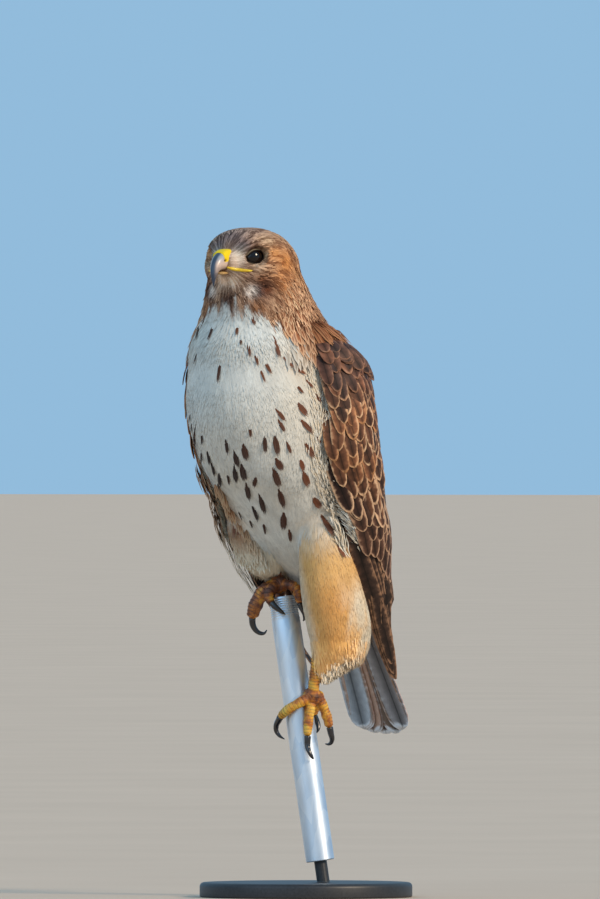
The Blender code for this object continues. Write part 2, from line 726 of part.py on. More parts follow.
def build_pipe(collection):
    """The cut pipe, its cut profile turned about its axis. Its origin is at its top."""
    length = pipe_length()
    profile = [(0.0, -PIPE_BORE_DEPTH), (PIPE_BORE, -PIPE_BORE_DEPTH), (PIPE_BORE, 0.0)]
    profile.append((PIPE_RADIUS - THREAD_DEPTH, 0.0))
    for i in range(THREADS):
        crest = THREAD_PITCH * (i + 0.75)
        fading = min(1.0, (THREADS - i) / 3)
        profile.append((PIPE_RADIUS, -crest))
        profile.append((PIPE_RADIUS - THREAD_DEPTH * fading, -crest - THREAD_PITCH / 2))
    profile.append((PIPE_RADIUS, -THREAD_PITCH * (THREADS + 0.9)))
    profile.append((PIPE_RADIUS, PIPE_EDGE - length))
    profile.append((PIPE_RADIUS - PIPE_EDGE, -length))
    profile.append((0.0, -length))
    mesh = bpy.data.meshes.new("perch_pipe")
    points = [(distance, 0.0, height) for distance, height in profile]
    mesh.from_pydata(points, [(i, i + 1) for i in range(len(points) - 1)], [])
    pipe = bpy.data.objects.new("perch_pipe", mesh)
    collection.objects.link(pipe)
    screw = pipe.modifiers.new("turn", "SCREW")
    screw.angle = 2 * math.pi
    screw.steps = PIPE_SIDES
    screw.render_steps = PIPE_SIDES
    screw.use_merge_vertices = True
    screw.merge_threshold = 0.00001
    screw.use_normal_calculate = True
    stand_on_pipe_line(pipe, 0.0)
    return pipe


def build_foot(name, ball_at, toes, claw_prefix, collection, cutter):
    upright = np.eye(3)
    foot = ball(name, ball_at, (BALL_RADIUS,) * 3, upright, collection, across=14, down=8)
    pieces = []
    claws = []
    for toe, stations in toes.items():
        points = np.array([on_pipe(*station) for station in stations])
        total = path_length(points)
        split = total * TOE_SHARE
        path = resample(points, 0.0, split, len(TOE_RADIUS))
        near = resample(points, split - 0.0006, split + 0.0006, 2)
        way = unit(near[1] - near[0])
        stout = STOUT_TOES.get(f"{name}_{toe}", 1.0)
        radii = np.array(TOE_RADIUS) * stout
        pieces.append(tube(f"{name}_{toe}", path, radii, TOE_SIDES, collection, last=way))
        talon = resample(points, split, total, len(CLAW_RADIUS))
        talon[0] = path[-1] + way * GAP
        claws.append(tube(
            f"{claw_prefix}_{toe}", talon, CLAW_RADIUS, CLAW_SIDES, collection, first=way,
        ))
    join_all(foot, pieces)
    cut(foot, cutter)
    keep_largest(foot)
    for claw in claws:
        cut(claw, cutter)
    return foot, claws


def build_bill(name, table, first, last, rings, collection):
    made = []
    for r in range(rings):
        row = curve(table, first + (last - first) * r / (rings - 1))
        top = np.array((0.0, row[0], row[1]))
        bottom = np.array((0.0, row[2], row[3]))
        middle = (top + bottom) / 2
        ring = []
        for k in range(BILL_SIDES):
            c, s = rounded(2 * math.pi * k / BILL_SIDES, BILL_POWER)
            ring.append(middle + (top - middle) * s + np.array((row[4] * c, 0.0, 0.0)))
        made.append(ring)
    return loft(name, made, collection)


def build_lid(face, look, across, upward, collection):
    """The rim of skin round an eye, as a ring that lies a little flatter than a circle."""
    around, thick = LID_SIDES
    middle = face - look * (EYE_SHOWS + GAP)
    reach = math.sqrt(EYE_RADIUS**2 - (EYE_RADIUS - EYE_SHOWS) ** 2) + GAP
    points = []
    faces = []
    for k in range(around):
        a = 2 * math.pi * k / around
        spoke = math.cos(a) * across + math.sin(a) * upward * LID_SQUASH
        for j in range(thick):
            b = 2 * math.pi * j / thick
            points.append(
                middle + spoke * (reach + LID_RADIUS * math.cos(b)) + look * LID_RADIUS * math.sin(b)
            )
            n = (k + 1) % around
            m = (j + 1) % thick
            faces.append((k * thick + j, k * thick + m, n * thick + m, n * thick + j))
    return new_object("lid", points, faces, collection)


def material(name):
    colour, roughness, metallic = MATERIALS[name]
    made = bpy.data.materials.get(name)
    if made:
        return made
    made = bpy.data.materials.new(name)
    made.use_nodes = True
    shader = made.node_tree.nodes["Principled BSDF"]
    shader.inputs["Base Color"].default_value = (*colour, 1)
    shader.inputs["Roughness"].default_value = roughness
    shader.inputs["Metallic"].default_value = metallic
    made.diffuse_color = (*colour, 1)
    return made


def finish(obj, slot, smooth=True):
    """Lowers a part to its place over the floor, and gives it its material."""
    obj.location.z -= FLOOR
    obj.data.materials.clear()
    obj.data.materials.append(material(slot))
    for face in obj.data.polygons:
        face.use_smooth = smooth
        face.material_index = 0


def build_stand(collection):
    top, down, right, near = pipe_frame()
    start = pipe_length() + GAP
    reach = (top + down * start)[2] - FLOOR
    rod = cylinder("stand_rod", ROD_RADIUS, reach, 20, collection)
    stand_on_pipe_line(rod, start + reach)
    bpy.context.view_layer.update()
    rod.data.transform(rod.matrix_world)
    rod.matrix_world = Matrix.Identity(4)
    halve(rod, (0, 0, FLOOR + BASE_HEIGHT + GAP), (0, 0, -1))
    base = cylinder("stand_base", BASE_RADIUS, BASE_HEIGHT, 48, collection)
    base.location.z = FLOOR
    edge = base.modifiers.new("edge", "BEVEL")
    edge.width = BASE_EDGE
    edge.segments = 2
    edge.limit_method = "ANGLE"
    return rod, base


def main():
    for obj in list(bpy.data.objects):
        bpy.data.objects.remove(obj, do_unlink=True)
    scene = bpy.context.scene
    hawk = bpy.data.collections.new("hawk")
    scene.collection.children.link(hawk)
    helpers = bpy.data.collections.new("helpers")
    scene.collection.children.link(helpers)

    # Grown copies cut the neighbours, so that each joint keeps its gap
    last = len(TORSO) - 1
    grown_torso = loft(
        "grown_torso",
        [torso_ring(last * r / (TORSO_RINGS - 1), TORSO_SIDES, GAP) for r in range(TORSO_RINGS)],
        helpers,
    )
    thigh_tables = {"left": THIGH_LEFT, "right": THIGH_RIGHT}
    grown_thighs = {}
    for side, table in thigh_tables.items():
        places = np.linspace(0, len(table) - 1, THIGH_RINGS)
        rings = [thigh_ring(table, a, THIGH_SIDES, GAP) for a in places]
        grown_thighs[side] = loft(f"grown_thigh_{side}", rings, helpers)
    grown_pipe = cylinder("grown_pipe", PIPE_RADIUS + GAP, pipe_length() + GAP, PIPE_SIDES, helpers)
    stand_on_pipe_line(grown_pipe, pipe_length())

    # Torso, neck and head, from one form parted by thin cuts
    flesh = loft(
        "torso",
        [torso_ring(last * r / (TORSO_RINGS - 1), TORSO_SIDES) for r in range(TORSO_RINGS)],
        hawk,
    )
    skull = loft(
        "skull",
        [head_ring((len(HEAD) - 1) * r / (HEAD_RINGS - 1), HEAD_SIDES) for r in range(HEAD_RINGS)],
        hawk,
    )
    join_all(flesh, [skull])
    tilt = np.array((0.0, -math.sin(NECK_TILT), math.cos(NECK_TILT)))
    high = np.array(HEAD_BOTTOM)
    low = np.array(NECK_BOTTOM)
    head = copy_of(flesh, "head", hawk)
    neck = copy_of(flesh, "neck", hawk)
    halve(head, high + tilt * GAP / 2, -tilt)
    halve(neck, high - tilt * GAP / 2, tilt)
    halve(neck, low + tilt * GAP / 2, -tilt)
    torso = flesh
    halve(torso, low - tilt * GAP / 2, tilt)

    # Eyes in their sockets, with rims round them
    eyes = []
    for side, sign in (("left", 1), ("right", -1)):
        turn = np.array((sign, 1, 1))
        face = np.array(EYE_FACE) * turn
        look = unit(np.array(EYE_LOOK) * turn)
        across = unit(np.cross(look, (0, 0, 1)))
        upward = np.cross(across, look)
        if upward[2] < 0:
            upward = -upward
        axes = (across, upward, look)
        centre = face - look * EYE_RADIUS
        brow = ball(
            "brow", face + upward * BROW_RISE - look * BROW_SUNK, BROW_HALF, axes, hawk, 10, 6,
        )
        join_all(head, [brow])
        dish = ball("dish", face + look * DISH_OUT, DISH_HALF, axes, helpers, 12, 8)
        cut(head, dish)
        join_all(head, [build_lid(face, look, across, upward, hawk)])
        socket = ball("socket", centre, (EYE_RADIUS + GAP,) * 3, axes, helpers, 14, 8)
        cut(head, socket)
        eyes.append(ball(f"eye_{side}", centre, (EYE_RADIUS,) * 3, axes, hawk, 14, 8))
    keep_largest(head)

    # Bill
    cere = build_bill("cere", BILL, 0.0, CERE_ENDS, 5, hawk)
    for sign in (1, -1):
        nostril = ball(
            "nostril", np.array(NOSTRIL) * (sign, 1, 1), NOSTRIL_HALF, np.eye(3), helpers, 8, 6,
        )
        cut(cere, nostril)
    upper = build_bill("upper_bill", BILL, HORN_STARTS, len(BILL) - 1, 9, hawk)
    jaw = build_bill("lower_bill", JAW, 0.0, len(JAW) - 1, 5, hawk)

    # Legs and feet
    shins = {}
    grown_balls = {}
    for side, (start, end, wide, narrow) in (("left", SHIN_LEFT), ("right", SHIN_RIGHT)):
        ball_at = BALL_LEFT if side == "left" else BALL_RIGHT
        path = np.linspace(start, end, 4)
        shin = tube(f"shin_{side}", path, np.linspace(wide, narrow, 4), 14, hawk)
        grown_balls[side] = ball(
            "grown_ball", ball_at, (BALL_RADIUS + GAP,) * 3, np.eye(3), helpers, 14, 8,
        )
        cut(shin, grown_balls[side])
        keep_largest(shin)
        shins[side] = shin
    thighs = {}
    for side, table in thigh_tables.items():
        places = np.linspace(0, len(table) - 1, THIGH_RINGS)
        thigh = loft(f"thigh_{side}", [thigh_ring(table, a, THIGH_SIDES) for a in places], hawk)
        start, end, wide, narrow = SHIN_LEFT if side == "left" else SHIN_RIGHT
        above = np.array(start) + unit(np.array(start) - np.array(end)) * GAP
        grown_shin = tube(
            "grown_shin", np.linspace(above, end, 4), np.linspace(wide, narrow, 4) + GAP, 14, helpers,
        )
        cut(thigh, grown_torso, grown_shin)
        keep_largest(thigh)
        if side == "right":
            cut(torso, grown_shin, grown_balls[side])
        thighs[side] = thigh
    feet = []
    feet.append(build_foot("foot_left", BALL_LEFT, TOES_LEFT, "claw_left", hawk, grown_pipe))
    feet.append(build_foot("foot_right", BALL_RIGHT, TOES_RIGHT, "claw_right", hawk, grown_pipe))

    # Wings and tail
    wings = []
    wings.append(build_wing("wing_left", 1, 0.0, hawk, (grown_torso, grown_thighs["left"])))
    wings.append(build_wing("wing_right", -1, RIGHT_WING_TUCK, hawk, (grown_torso, grown_thighs["right"])))
    tail = build_tail(hawk, (grown_torso, grown_thighs["left"], grown_thighs["right"]))

    # Perch and stand
    pipe = build_pipe(hawk)
    rod, base = build_stand(hawk)

    for obj in list(helpers.objects):
        remove(obj)
    bpy.data.collections.remove(helpers)

    finish(torso, "plumage_pale")
    finish(neck, "plumage_head")
    finish(head, "plumage_head")
    for eye in eyes:
        finish(eye, "eye_dark")
    finish(cere, "skin_yellow")
    finish(upper, "horn_grey")
    finish(jaw, "horn_grey")
    for side in ("left", "right"):
        finish(thighs[side], "plumage_gold")
        finish(shins[side], "skin_yellow")
    for foot, claws in feet:
        finish(foot, "skin_yellow")
        for claw in claws:
            finish(claw, "horn_dark")
    for wing in wings:
        finish(wing, "plumage_brown", smooth=False)
    finish(tail, "plumage_brown", smooth=False)
    finish(pipe, "galvanised", smooth=False)
    finish(rod, "stand_black")
    finish(base, "stand_black", smooth=False)


main()
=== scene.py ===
"""Looks of the red-tailed hawk on its cut pipe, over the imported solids.

Metres, +Z up. The bird faces -Y and its left side is +X. The tables' heights are read from a ground
line under the stand's foot, and FLOOR takes them down to z = 0 when a mesh is made.
"""

import math
import random

import bmesh
import bpy
import numpy as np
from mathutils import Matrix, Vector
from mathutils.bvhtree import BVHTree


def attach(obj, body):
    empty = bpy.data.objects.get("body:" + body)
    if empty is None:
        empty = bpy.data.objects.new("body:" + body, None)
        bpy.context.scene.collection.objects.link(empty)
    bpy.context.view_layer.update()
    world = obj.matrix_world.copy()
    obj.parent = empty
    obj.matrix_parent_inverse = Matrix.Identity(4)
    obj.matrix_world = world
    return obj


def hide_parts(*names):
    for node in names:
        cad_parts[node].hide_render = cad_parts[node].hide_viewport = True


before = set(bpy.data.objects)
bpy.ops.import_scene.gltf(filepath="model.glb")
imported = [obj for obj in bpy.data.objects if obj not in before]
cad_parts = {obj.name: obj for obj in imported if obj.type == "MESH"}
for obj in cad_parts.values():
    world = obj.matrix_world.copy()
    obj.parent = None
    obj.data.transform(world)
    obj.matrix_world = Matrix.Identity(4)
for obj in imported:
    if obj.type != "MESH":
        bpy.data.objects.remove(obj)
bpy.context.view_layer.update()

FLOOR = 0.0713
VIEW = math.radians(33)
PIXEL = 0.00094
CHANCE = np.random.default_rng(11)
SHARE = 1.0
SIDES = ((1, "left"), (-1, "right"))

# Body, as level cuts from vent to crown: height, middle, half width, depth ahead, depth behind
TORSO = (
    (0.345, 0.042, 0.008, 0.008, 0.012),
    (0.354, 0.038, 0.018, 0.018, 0.024),
    (0.372, 0.026, 0.034, 0.032, 0.034),
    (0.3975, 0.012, 0.050, 0.051, 0.041),
    (0.420, 0.002, 0.060, 0.066, 0.045),
    (0.4445, -0.010, 0.069, 0.082, 0.047),
    (0.468, -0.022, 0.074, 0.097, 0.052),
    (0.4915, -0.034, 0.076, 0.103, 0.058),
    (0.515, -0.044, 0.077, 0.105, 0.062),
    (0.5385, -0.054, 0.076, 0.099, 0.063),
    (0.5635, -0.060, 0.073, 0.091, 0.062),
    (0.588, -0.066, 0.069, 0.082, 0.063),
    (0.610, -0.073, 0.060, 0.063, 0.056),
    (0.630, -0.080, 0.051, 0.055, 0.051),
    (0.650, -0.087, 0.045, 0.047, 0.047),
    (0.668, -0.092, 0.036, 0.036, 0.040),
    (0.680, -0.094, 0.020, 0.020, 0.024),
)

# Head, as upright cuts from face to nape: place, middle height, half width, height above, height below
HEAD = (
    (-0.1365, 0.6660, 0.0150, 0.0165, 0.0150),
    (-0.132, 0.6663, 0.0220, 0.0210, 0.0200),
    (-0.125, 0.666, 0.0325, 0.0280, 0.0255),
    (-0.116, 0.666, 0.0378, 0.0325, 0.0290),
    (-0.104, 0.6655, 0.0400, 0.0345, 0.0320),
    (-0.092, 0.665, 0.0402, 0.0345, 0.0340),
    (-0.078, 0.664, 0.0385, 0.0322, 0.0350),
    (-0.064, 0.661, 0.0340, 0.0266, 0.0340),
    (-0.053, 0.657, 0.0260, 0.0198, 0.0300),
    (-0.045, 0.653, 0.0145, 0.0120, 0.0200),
    (-0.0415, 0.651, 0.0040, 0.0040, 0.0060),
)
BODY_POWER = 2.1
HEAD_POWER = 2.3
BILL_POWER = 2.2

# Eyes: the middle of the part that shows, the way it looks, its radius
EYE_FACE = (0.0250, -0.1235, 0.6727)
EYE_LOOK = (0.84, -0.53, 0.09)
EYE_RADIUS = 0.0105
EYE_OPEN = (0.0092, 0.0060, 0.0072)
EYE_TILT = math.radians(13)
BROW_RISE = 0.0096
BROW_SUNK = 0.0022
BROW_HALF = (0.0130, 0.0034, 0.0050)
DISH_HALF = (0.0124, 0.0088, 0.0080)

# Bill in side view: top place, top height, bottom place, bottom height, half width
BILL = (
    (-0.1368, 0.6792, -0.1368, 0.6602, 0.0100),
    (-0.1440, 0.6784, -0.1430, 0.6600, 0.0097),
    (-0.1500, 0.6756, -0.1485, 0.6594, 0.0088),
    (-0.1560, 0.6708, -0.1520, 0.6585, 0.0074),
    (-0.1596, 0.6642, -0.1540, 0.6564, 0.0058),
    (-0.1609, 0.6570, -0.1560, 0.6532, 0.0040),
    (-0.1602, 0.6505, -0.1575, 0.6490, 0.0023),
    (-0.1586, 0.6446, -0.1580, 0.6442, 0.0006),
)
CERE_ENDS = 2.0
HORN_TIP, HORN_TOP = 0.6446, 0.6730
JAW = (
    (-0.1368, 0.6594, -0.1368, 0.6535, 0.0092),
    (-0.1440, 0.6592, -0.1440, 0.6524, 0.0080),
    (-0.1495, 0.6584, -0.1495, 0.6530, 0.0058),
    (-0.1522, 0.6572, -0.1522, 0.6545, 0.0030),
)
NOSTRIL = (0.0070, -0.1482, 0.6684)
NOSTRIL_HALF = (0.0040, 0.0019, 0.0015)
BILL_NARROW = 0.74
CERE_LIFTED = 0.0050
MUZZLE = (0.0, -0.1350, 0.6672)
MUZZLE_HALF = (0.0124, 0.0122, 0.0122)

# Thighs, as level cuts: height, side place, middle, half width, half depth
THIGH_RIGHT = (
    (0.3735, -0.033, -0.010, 0.006, 0.008),
    (0.3800, -0.035, -0.011, 0.017, 0.022),
    (0.3950, -0.038, -0.012, 0.026, 0.036),
    (0.4150, -0.040, -0.014, 0.030, 0.042),
    (0.4400, -0.040, -0.016, 0.029, 0.040),
    (0.4650, -0.036, -0.020, 0.022, 0.030),
    (0.4800, -0.034, -0.020, 0.008, 0.010),
)

# The left thigh's own flesh: the rest of its form is loose down
THIGH_FLESH = (
    (0.2785, 0.0150, -0.0050, 0.0060, 0.0066),
    (0.2860, 0.0198, 0.0012, 0.0108, 0.0140),
    (0.2940, 0.0252, 0.0068, 0.0168, 0.0245),
    (0.3020, 0.0306, 0.0108, 0.0224, 0.0332),
    (0.3261, 0.0355, 0.0018, 0.0280, 0.0395),
    (0.3627, 0.0375, -0.0138, 0.0278, 0.0368),
    (0.4069, 0.0380, -0.0270, 0.025, 0.028),
    (0.4400, 0.0360, -0.0300, 0.020, 0.024),
    (0.4550, 0.0340, -0.0300, 0.008, 0.010),
)

# Half the left thigh's width as the photo shows it
THIGH_HALF = 0.031

# Wing, as level cuts of its outer face: height, then the front, middle and rear points
WING = (
    (0.2720, 0.0440, 0.0930, 0.0440, 0.0935, 0.0430, 0.0945),
    (0.2850, 0.0470, 0.0795, 0.0470, 0.0880, 0.0420, 0.0960),
    (0.3100, 0.0530, 0.0550, 0.0540, 0.0720, 0.0420, 0.0920),
    (0.3374, 0.0600, 0.0270, 0.0620, 0.0550, 0.0380, 0.0880),
    (0.3505, 0.0630, 0.0140, 0.0680, 0.0500, 0.0350, 0.0850),
    (0.3787, 0.0680, -0.0120, 0.0750, 0.0340, 0.0290, 0.0790),
    (0.3985, 0.0700, -0.0285, 0.0800, 0.0270, 0.0230, 0.0740),
    (0.4200, 0.0720, -0.0420, 0.0830, 0.0190, 0.0160, 0.0670),
    (0.4445, 0.0690, -0.0580, 0.0850, 0.0060, 0.0130, 0.0590),
    (0.4680, 0.0700, -0.0750, 0.0895, -0.0050, 0.0150, 0.0530),
    (0.4915, 0.0715, -0.0860, 0.0925, -0.0170, 0.0200, 0.0480),
    (0.5150, 0.0745, -0.0885, 0.0935, -0.0250, 0.0260, 0.0430),
    (0.5348, 0.0745, -0.0900, 0.0930, -0.0310, 0.0320, 0.0380),
    (0.5600, 0.0725, -0.0920, 0.0900, -0.0400, 0.0380, 0.0280),
    (0.5850, 0.0675, -0.0900, 0.0810, -0.0480, 0.0420, 0.0080),
    (0.6030, 0.0600, -0.0850, 0.0660, -0.0580, 0.0480, -0.0190),
)
RIGHT_WING_TUCK = 0.13

# The flesh under a wing: its heights, its middle and half across the face on each side, how far in
BED_LOW, BED_HIGH = 0.380, 0.598
BED_ACROSS = {1: (0.50, 0.46), -1: (0.54, 0.42)}
BED_SUNK = 0.0065
BED_POWER = 3.0

# Tail: where it starts, the way it points, length, spread at root and tip
TAIL_ROOT = (0.0, 0.0247, 0.4126)
TAIL_POINTS = (0.0, 0.1151, -0.1861)
TAIL_LENGTH = 0.2225
TAIL_SPREAD = (0.0090, 0.0222)
TAIL_HALF_WIDTH = 0.0125
TAIL_COVERTS = (
    (0.000, 0.0240, 0.0160),
    (0.030, 0.0265, 0.0150),
    (0.060, 0.0255, 0.0110),
    (0.085, 0.0230, 0.0075),
    (0.105, 0.0190, 0.0045),
    (0.120, 0.0110, 0.0022),
)

# Pipe, rod and base
PIPE_TOP = (-0.0220, -0.0067, 0.3540)
PIPE_BOTTOM = (0.0079, 0.0126, 0.1053)
PIPE_RADIUS = 0.01335
PIPE_BORE = 0.0105
PIPE_BORE_DEPTH = 0.014
THREADS = 9
THREAD_PITCH = 0.0022
THREAD_DEPTH = 0.0009
CREST_FLAT = 0.0001
BORE_EDGE = 0.0004
PIPE_PLAIN = 0.022
PIPE_END = 0.0008
BASE_RADIUS = 0.100
BASE_HEIGHT = 0.014
BASE_FOOT_ROUND = 0.0018
BASE_TOP_ROUND = 0.004
BASE_MIDDLE = 0.014

# Toes and claws as stations of distance down the pipe, degrees round it from camera right,
# and distance from its axis
BALL_RADIUS = 0.0088
BALLS = {"left": (0.0085, -0.0025, 0.2600), "right": (-0.0235, -0.0105, 0.3650)}
TOES = {
    "left": {
        "inner": ((0.096, 40, 0.0200), (0.100, 75, 0.0186), (0.105, 115, 0.0182), (0.1105, 150, 0.0190),
                  (0.1150, 169, 0.0205), (0.1190, 180, 0.0228), (0.1245, 185, 0.0238), (0.1298, 183, 0.0212),
                  (0.1335, 176, 0.0168)),
        "middle": ((0.0975, 45, 0.0200), (0.108, 55, 0.0190), (0.120, 66, 0.0183), (0.132, 74, 0.0180),
                   (0.1425, 79, 0.0182), (0.1475, 78, 0.0200), (0.1515, 75, 0.0208), (0.1545, 70, 0.0195),
                   (0.1555, 66, 0.0168)),
        "outer": ((0.0965, 22, 0.0212), (0.107, 14, 0.0235), (0.118, 6, 0.0255), (0.129, 2, 0.0265),
                  (0.1345, 0, 0.0268), (0.1390, -3, 0.0272), (0.1425, -8, 0.0262), (0.1440, -14, 0.0238),
                  (0.1430, -20, 0.0210)),
        "hind": ((0.0965, 8, 0.0205), (0.1005, -12, 0.0205), (0.1055, -28, 0.0195), (0.1105, -40, 0.0188),
                 (0.1145, -46, 0.0192), (0.1195, -46, 0.0212), (0.1245, -43, 0.0218), (0.1290, -40, 0.0200),
                 (0.1320, -38, 0.0170)),
    },
    "right": {
        "inner": ((-0.0110, 118, 0.0060), (-0.0100, 126, 0.0120), (-0.0070, 131, 0.0170),
                  (-0.0020, 132, 0.0192), (0.0020, 128, 0.0197), (0.0060, 120, 0.0199),
                  (0.0100, 111, 0.0196), (0.0140, 100, 0.0184), (0.0175, 88, 0.0165)),
        "middle": ((-0.0110, 60, 0.0070), (-0.0095, 48, 0.0130), (-0.0050, 40, 0.0182), (0.0030, 36, 0.0192),
                   (0.0100, 34, 0.0188), (0.0150, 31, 0.0200), (0.0195, 28, 0.0206), (0.0235, 24, 0.0192),
                   (0.0260, 20, 0.0168)),
        "outer": ((-0.0100, 165, 0.0080), (-0.0075, 164, 0.0165), (0.0010, 168, 0.0245),
                  (0.0120, 173, 0.0300), (0.0210, 178, 0.0315), (0.0270, 180, 0.0300),
                  (0.0310, 180, 0.0265), (0.0320, 177, 0.0220), (0.0290, 172, 0.0190)),
        "hind": ((-0.0110, -70, 0.0070), (-0.0095, -84, 0.0130), (-0.0050, -94, 0.0182),
                 (0.0030, -98, 0.0192), (0.0100, -100, 0.0188), (0.0150, -103, 0.0202),
                 (0.0200, -104, 0.0208), (0.0245, -102, 0.0192), (0.0270, -98, 0.0168)),
    },
}
TOE_SHARE = 0.60
TOE_RADIUS = (0.0052, 0.0048, 0.0051, 0.0044, 0.0048, 0.0041, 0.0036)
CLAW_RADIUS = (0.0033, 0.0030, 0.0025, 0.0018, 0.0004)
STOUT_TOE = ("right", "outer", 1.48)
SHINS = {
    "left": ((0.0205, -0.0105, 0.3080), (0.0105, -0.0040, 0.2630), 0.0050, 0.0056),
    "right": ((-0.0300, -0.0060, 0.3960), (-0.0245, -0.0095, 0.3680), 0.0052, 0.0056),
}
SCUTE = 0.0031
# Heights over which the legs grow darker upward: painted shade on the right foot, which sits under the body
FOOT_SHADE_LOW, FOOT_SHADE_HIGH = 0.310, 0.340

# How finely the fused skins are cut
SKIN_VOXEL = 0.0019
LEG_VOXEL = 0.00055


def shade(red, green, blue):
    """A colour given as it looks on a screen, 0 to 255, made linear."""
    tones = np.array((red, green, blue), float) / 255
    return np.where(tones > 0.04045, ((tones + 0.055) / 1.055) ** 2.4, tones / 12.92)


# Small mathematics

def unit(vectors):
    vectors = np.asarray(vectors, float)
    size = np.linalg.norm(vectors, axis=-1, keepdims=True)
    return vectors / np.maximum(size, 1e-12)


def smooth(value, low, high):
    t = np.clip((np.asarray(value, float) - low) / (high - low), 0, 1)
    return t * t * (3 - 2 * t)


def mix(first, second, share):
    """Colours or directions mixed, with a share for each."""
    share = np.asarray(share, float)[..., None]
    return np.asarray(first) * (1 - share) + np.asarray(second) * share


def between(first, second, share):
    return first * (1 - share) + second * share


def curve(table, at):
    """The row of numbers at this place along a table, smoothly between its rows."""
    rows = np.asarray(table, float)
    last = len(rows) - 1
    at = min(max(at, 0.0), float(last))
    i = min(int(at), last - 1)
    f = at - i
    before = rows[max(i - 1, 0)]
    after = rows[min(i + 2, last)]
    start = (rows[i + 1] - before) / (2 if i > 0 else 1)
    end = (after - rows[i]) / (2 if i + 2 <= last else 1)
    return (
        rows[i] * (2 * f**3 - 3 * f**2 + 1)
        + start * (f**3 - 2 * f**2 + f)
        + rows[i + 1] * (3 * f**2 - 2 * f**3)
        + end * (f**3 - f**2)
    )


def fine(table, count=400):
    return np.array([curve(table, a) for a in np.linspace(0, len(table) - 1, count)])


def column(table, value, index):
    """One column of a finely cut table, where its first column has this value."""
    return np.interp(value, table[:, 0], table[:, index])


def power(number, exponent):
    return np.copysign(np.abs(number) ** (2 / exponent), number)


LATTICE = CHANCE.random((32, 32, 32))


def cloud(points, size):
    """Smooth noise from 0 to 1."""
    q = np.asarray(points, float) / size
    low = np.floor(q).astype(int)
    f = q - low
    f = f * f * (3 - 2 * f)
    total = 0
    for corner in range(8):
        step = np.array((corner & 1, corner >> 1 & 1, corner >> 2 & 1))
        at = (low + step) & 31
        weight = np.prod(np.where(step, f, 1 - f), axis=-1)
        total = total + weight * LATTICE[at[..., 0], at[..., 1], at[..., 2]]
    return total


# The photo's way to the right, and the way from the bird to the camera
RIGHT = np.array((math.cos(VIEW), math.sin(VIEW), 0.0))
NEAR = np.array((math.sin(VIEW), -math.cos(VIEW), 0.0))

# The pixel that shows the origin's upright line, and the height that its row shows
PHOTO_MIDDLE = (306, 449.5)
PHOTO_HALF_WIDTH = 300
VIEW_HEIGHT = 0.492

# The far flank's brown wedge on the photo: its rows, the belly's edge beside them, the columns
# searched for its outline, and how far inside the outline it reaches at least
FLANK_TOP, FLANK_LOW = 480, 556
FLANK_EDGE = (211, 266)
OUTLINE_SEARCH = (190, 260)
FLANK_LEAST = 5

# Where a line of sight misses the bird, the steps inward that find it
HEAD_MIDDLE = 250
PATCH_STEP = (6, 4)
STREAK_STEP = 4


def on_photo(px, py):
    """A point of the picture plane, in the tables' heights."""
    height = VIEW_HEIGHT + (PHOTO_MIDDLE[1] - py) * PIXEL
    return RIGHT * (px - PHOTO_MIDDLE[0]) * PIXEL + np.array((0, 0, height))


def in_flank(points):
    """How brown the far flank is at these points."""
    px = PHOTO_MIDDLE[0] + points @ RIGHT / PIXEL
    py = PHOTO_MIDDLE[1] - (points[:, 2] - VIEW_HEIGHT) / PIXEL
    share = (py - FLANK_TOP) / (FLANK_LOW - FLANK_TOP)
    edge = FLANK_EDGE[0] + (FLANK_EDGE[1] - FLANK_EDGE[0]) * share
    rows = smooth(share, -0.04, 0.14) * (1 - smooth(share, 0.58, 1.0))
    return smooth(edge - px, -4, 4) * rows * (points[:, 0] < 0)


# Meshes

def to_object(name, form, finish):
    """Ends a form at its place over the floor, riding on the bird's one body."""
    bmesh.ops.translate(form, verts=form.verts, vec=(0, 0, -FLOOR))
    mesh = bpy.data.meshes.new(name)
    form.to_mesh(mesh)
    form.free()
    return place_mesh(name, mesh, finish)


def place_mesh(name, mesh, finish):
    made = bpy.data.objects.new(name, mesh)
    bpy.context.scene.collection.objects.link(made)
    mesh.shade_smooth()
    mesh.materials.append(finish)
    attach(made, "root")
    return made


def wrap(around, along, place):
    """A ball whose rows are laid out by place(share along, cosine, sine)."""
    form = bmesh.new()
    bmesh.ops.create_uvsphere(form, u_segments=around, v_segments=along, radius=1)
    for vert in form.verts:
        x, y, z = vert.co
        share = math.acos(min(max(-z, -1), 1)) / math.pi
        wide = math.hypot(x, y)
        if wide > 1e-4:
            vert.co = Vector(place(share, x / wide, y / wide))
        else:
            vert.co = Vector(place(share, 0.0, 0.0))
    bmesh.ops.recalc_face_normals(form, faces=form.faces)
    if form.calc_volume(signed=True) < 0:
        bmesh.ops.reverse_faces(form, faces=form.faces)
    return form


def torso_form(sunk):
    def place(share, c, s):
        height, middle, width, ahead, behind = curve(TORSO, share * (len(TORSO) - 1))
        depth = (behind if s > 0 else ahead) - sunk
        wide = max(width - sunk, 0.001)
        return wide * power(c, BODY_POWER), middle + depth * power(s, BODY_POWER), height
    return wrap(56, 64, place)


def head_form(sunk):
    def place(share, c, s):
        y, height, width, up, down = curve(HEAD, share * (len(HEAD) - 1))
        tall = (up if s > 0 else down) - sunk
        wide = max(width - sunk, 0.001)
        return wide * power(c, HEAD_POWER), y, height + tall * power(s, HEAD_POWER)
    return wrap(48, 40, place)


def thigh_form(table, sunk):
    def place(share, c, s):
        height, side, middle, width, depth = curve(table, share * (len(table) - 1))
        wide = max(width - sunk, 0.001)
        deep = max(depth - sunk, 0.001)
        return side + wide * power(c, BODY_POWER), middle + deep * power(s, BODY_POWER), height
    return wrap(36, 36, place)


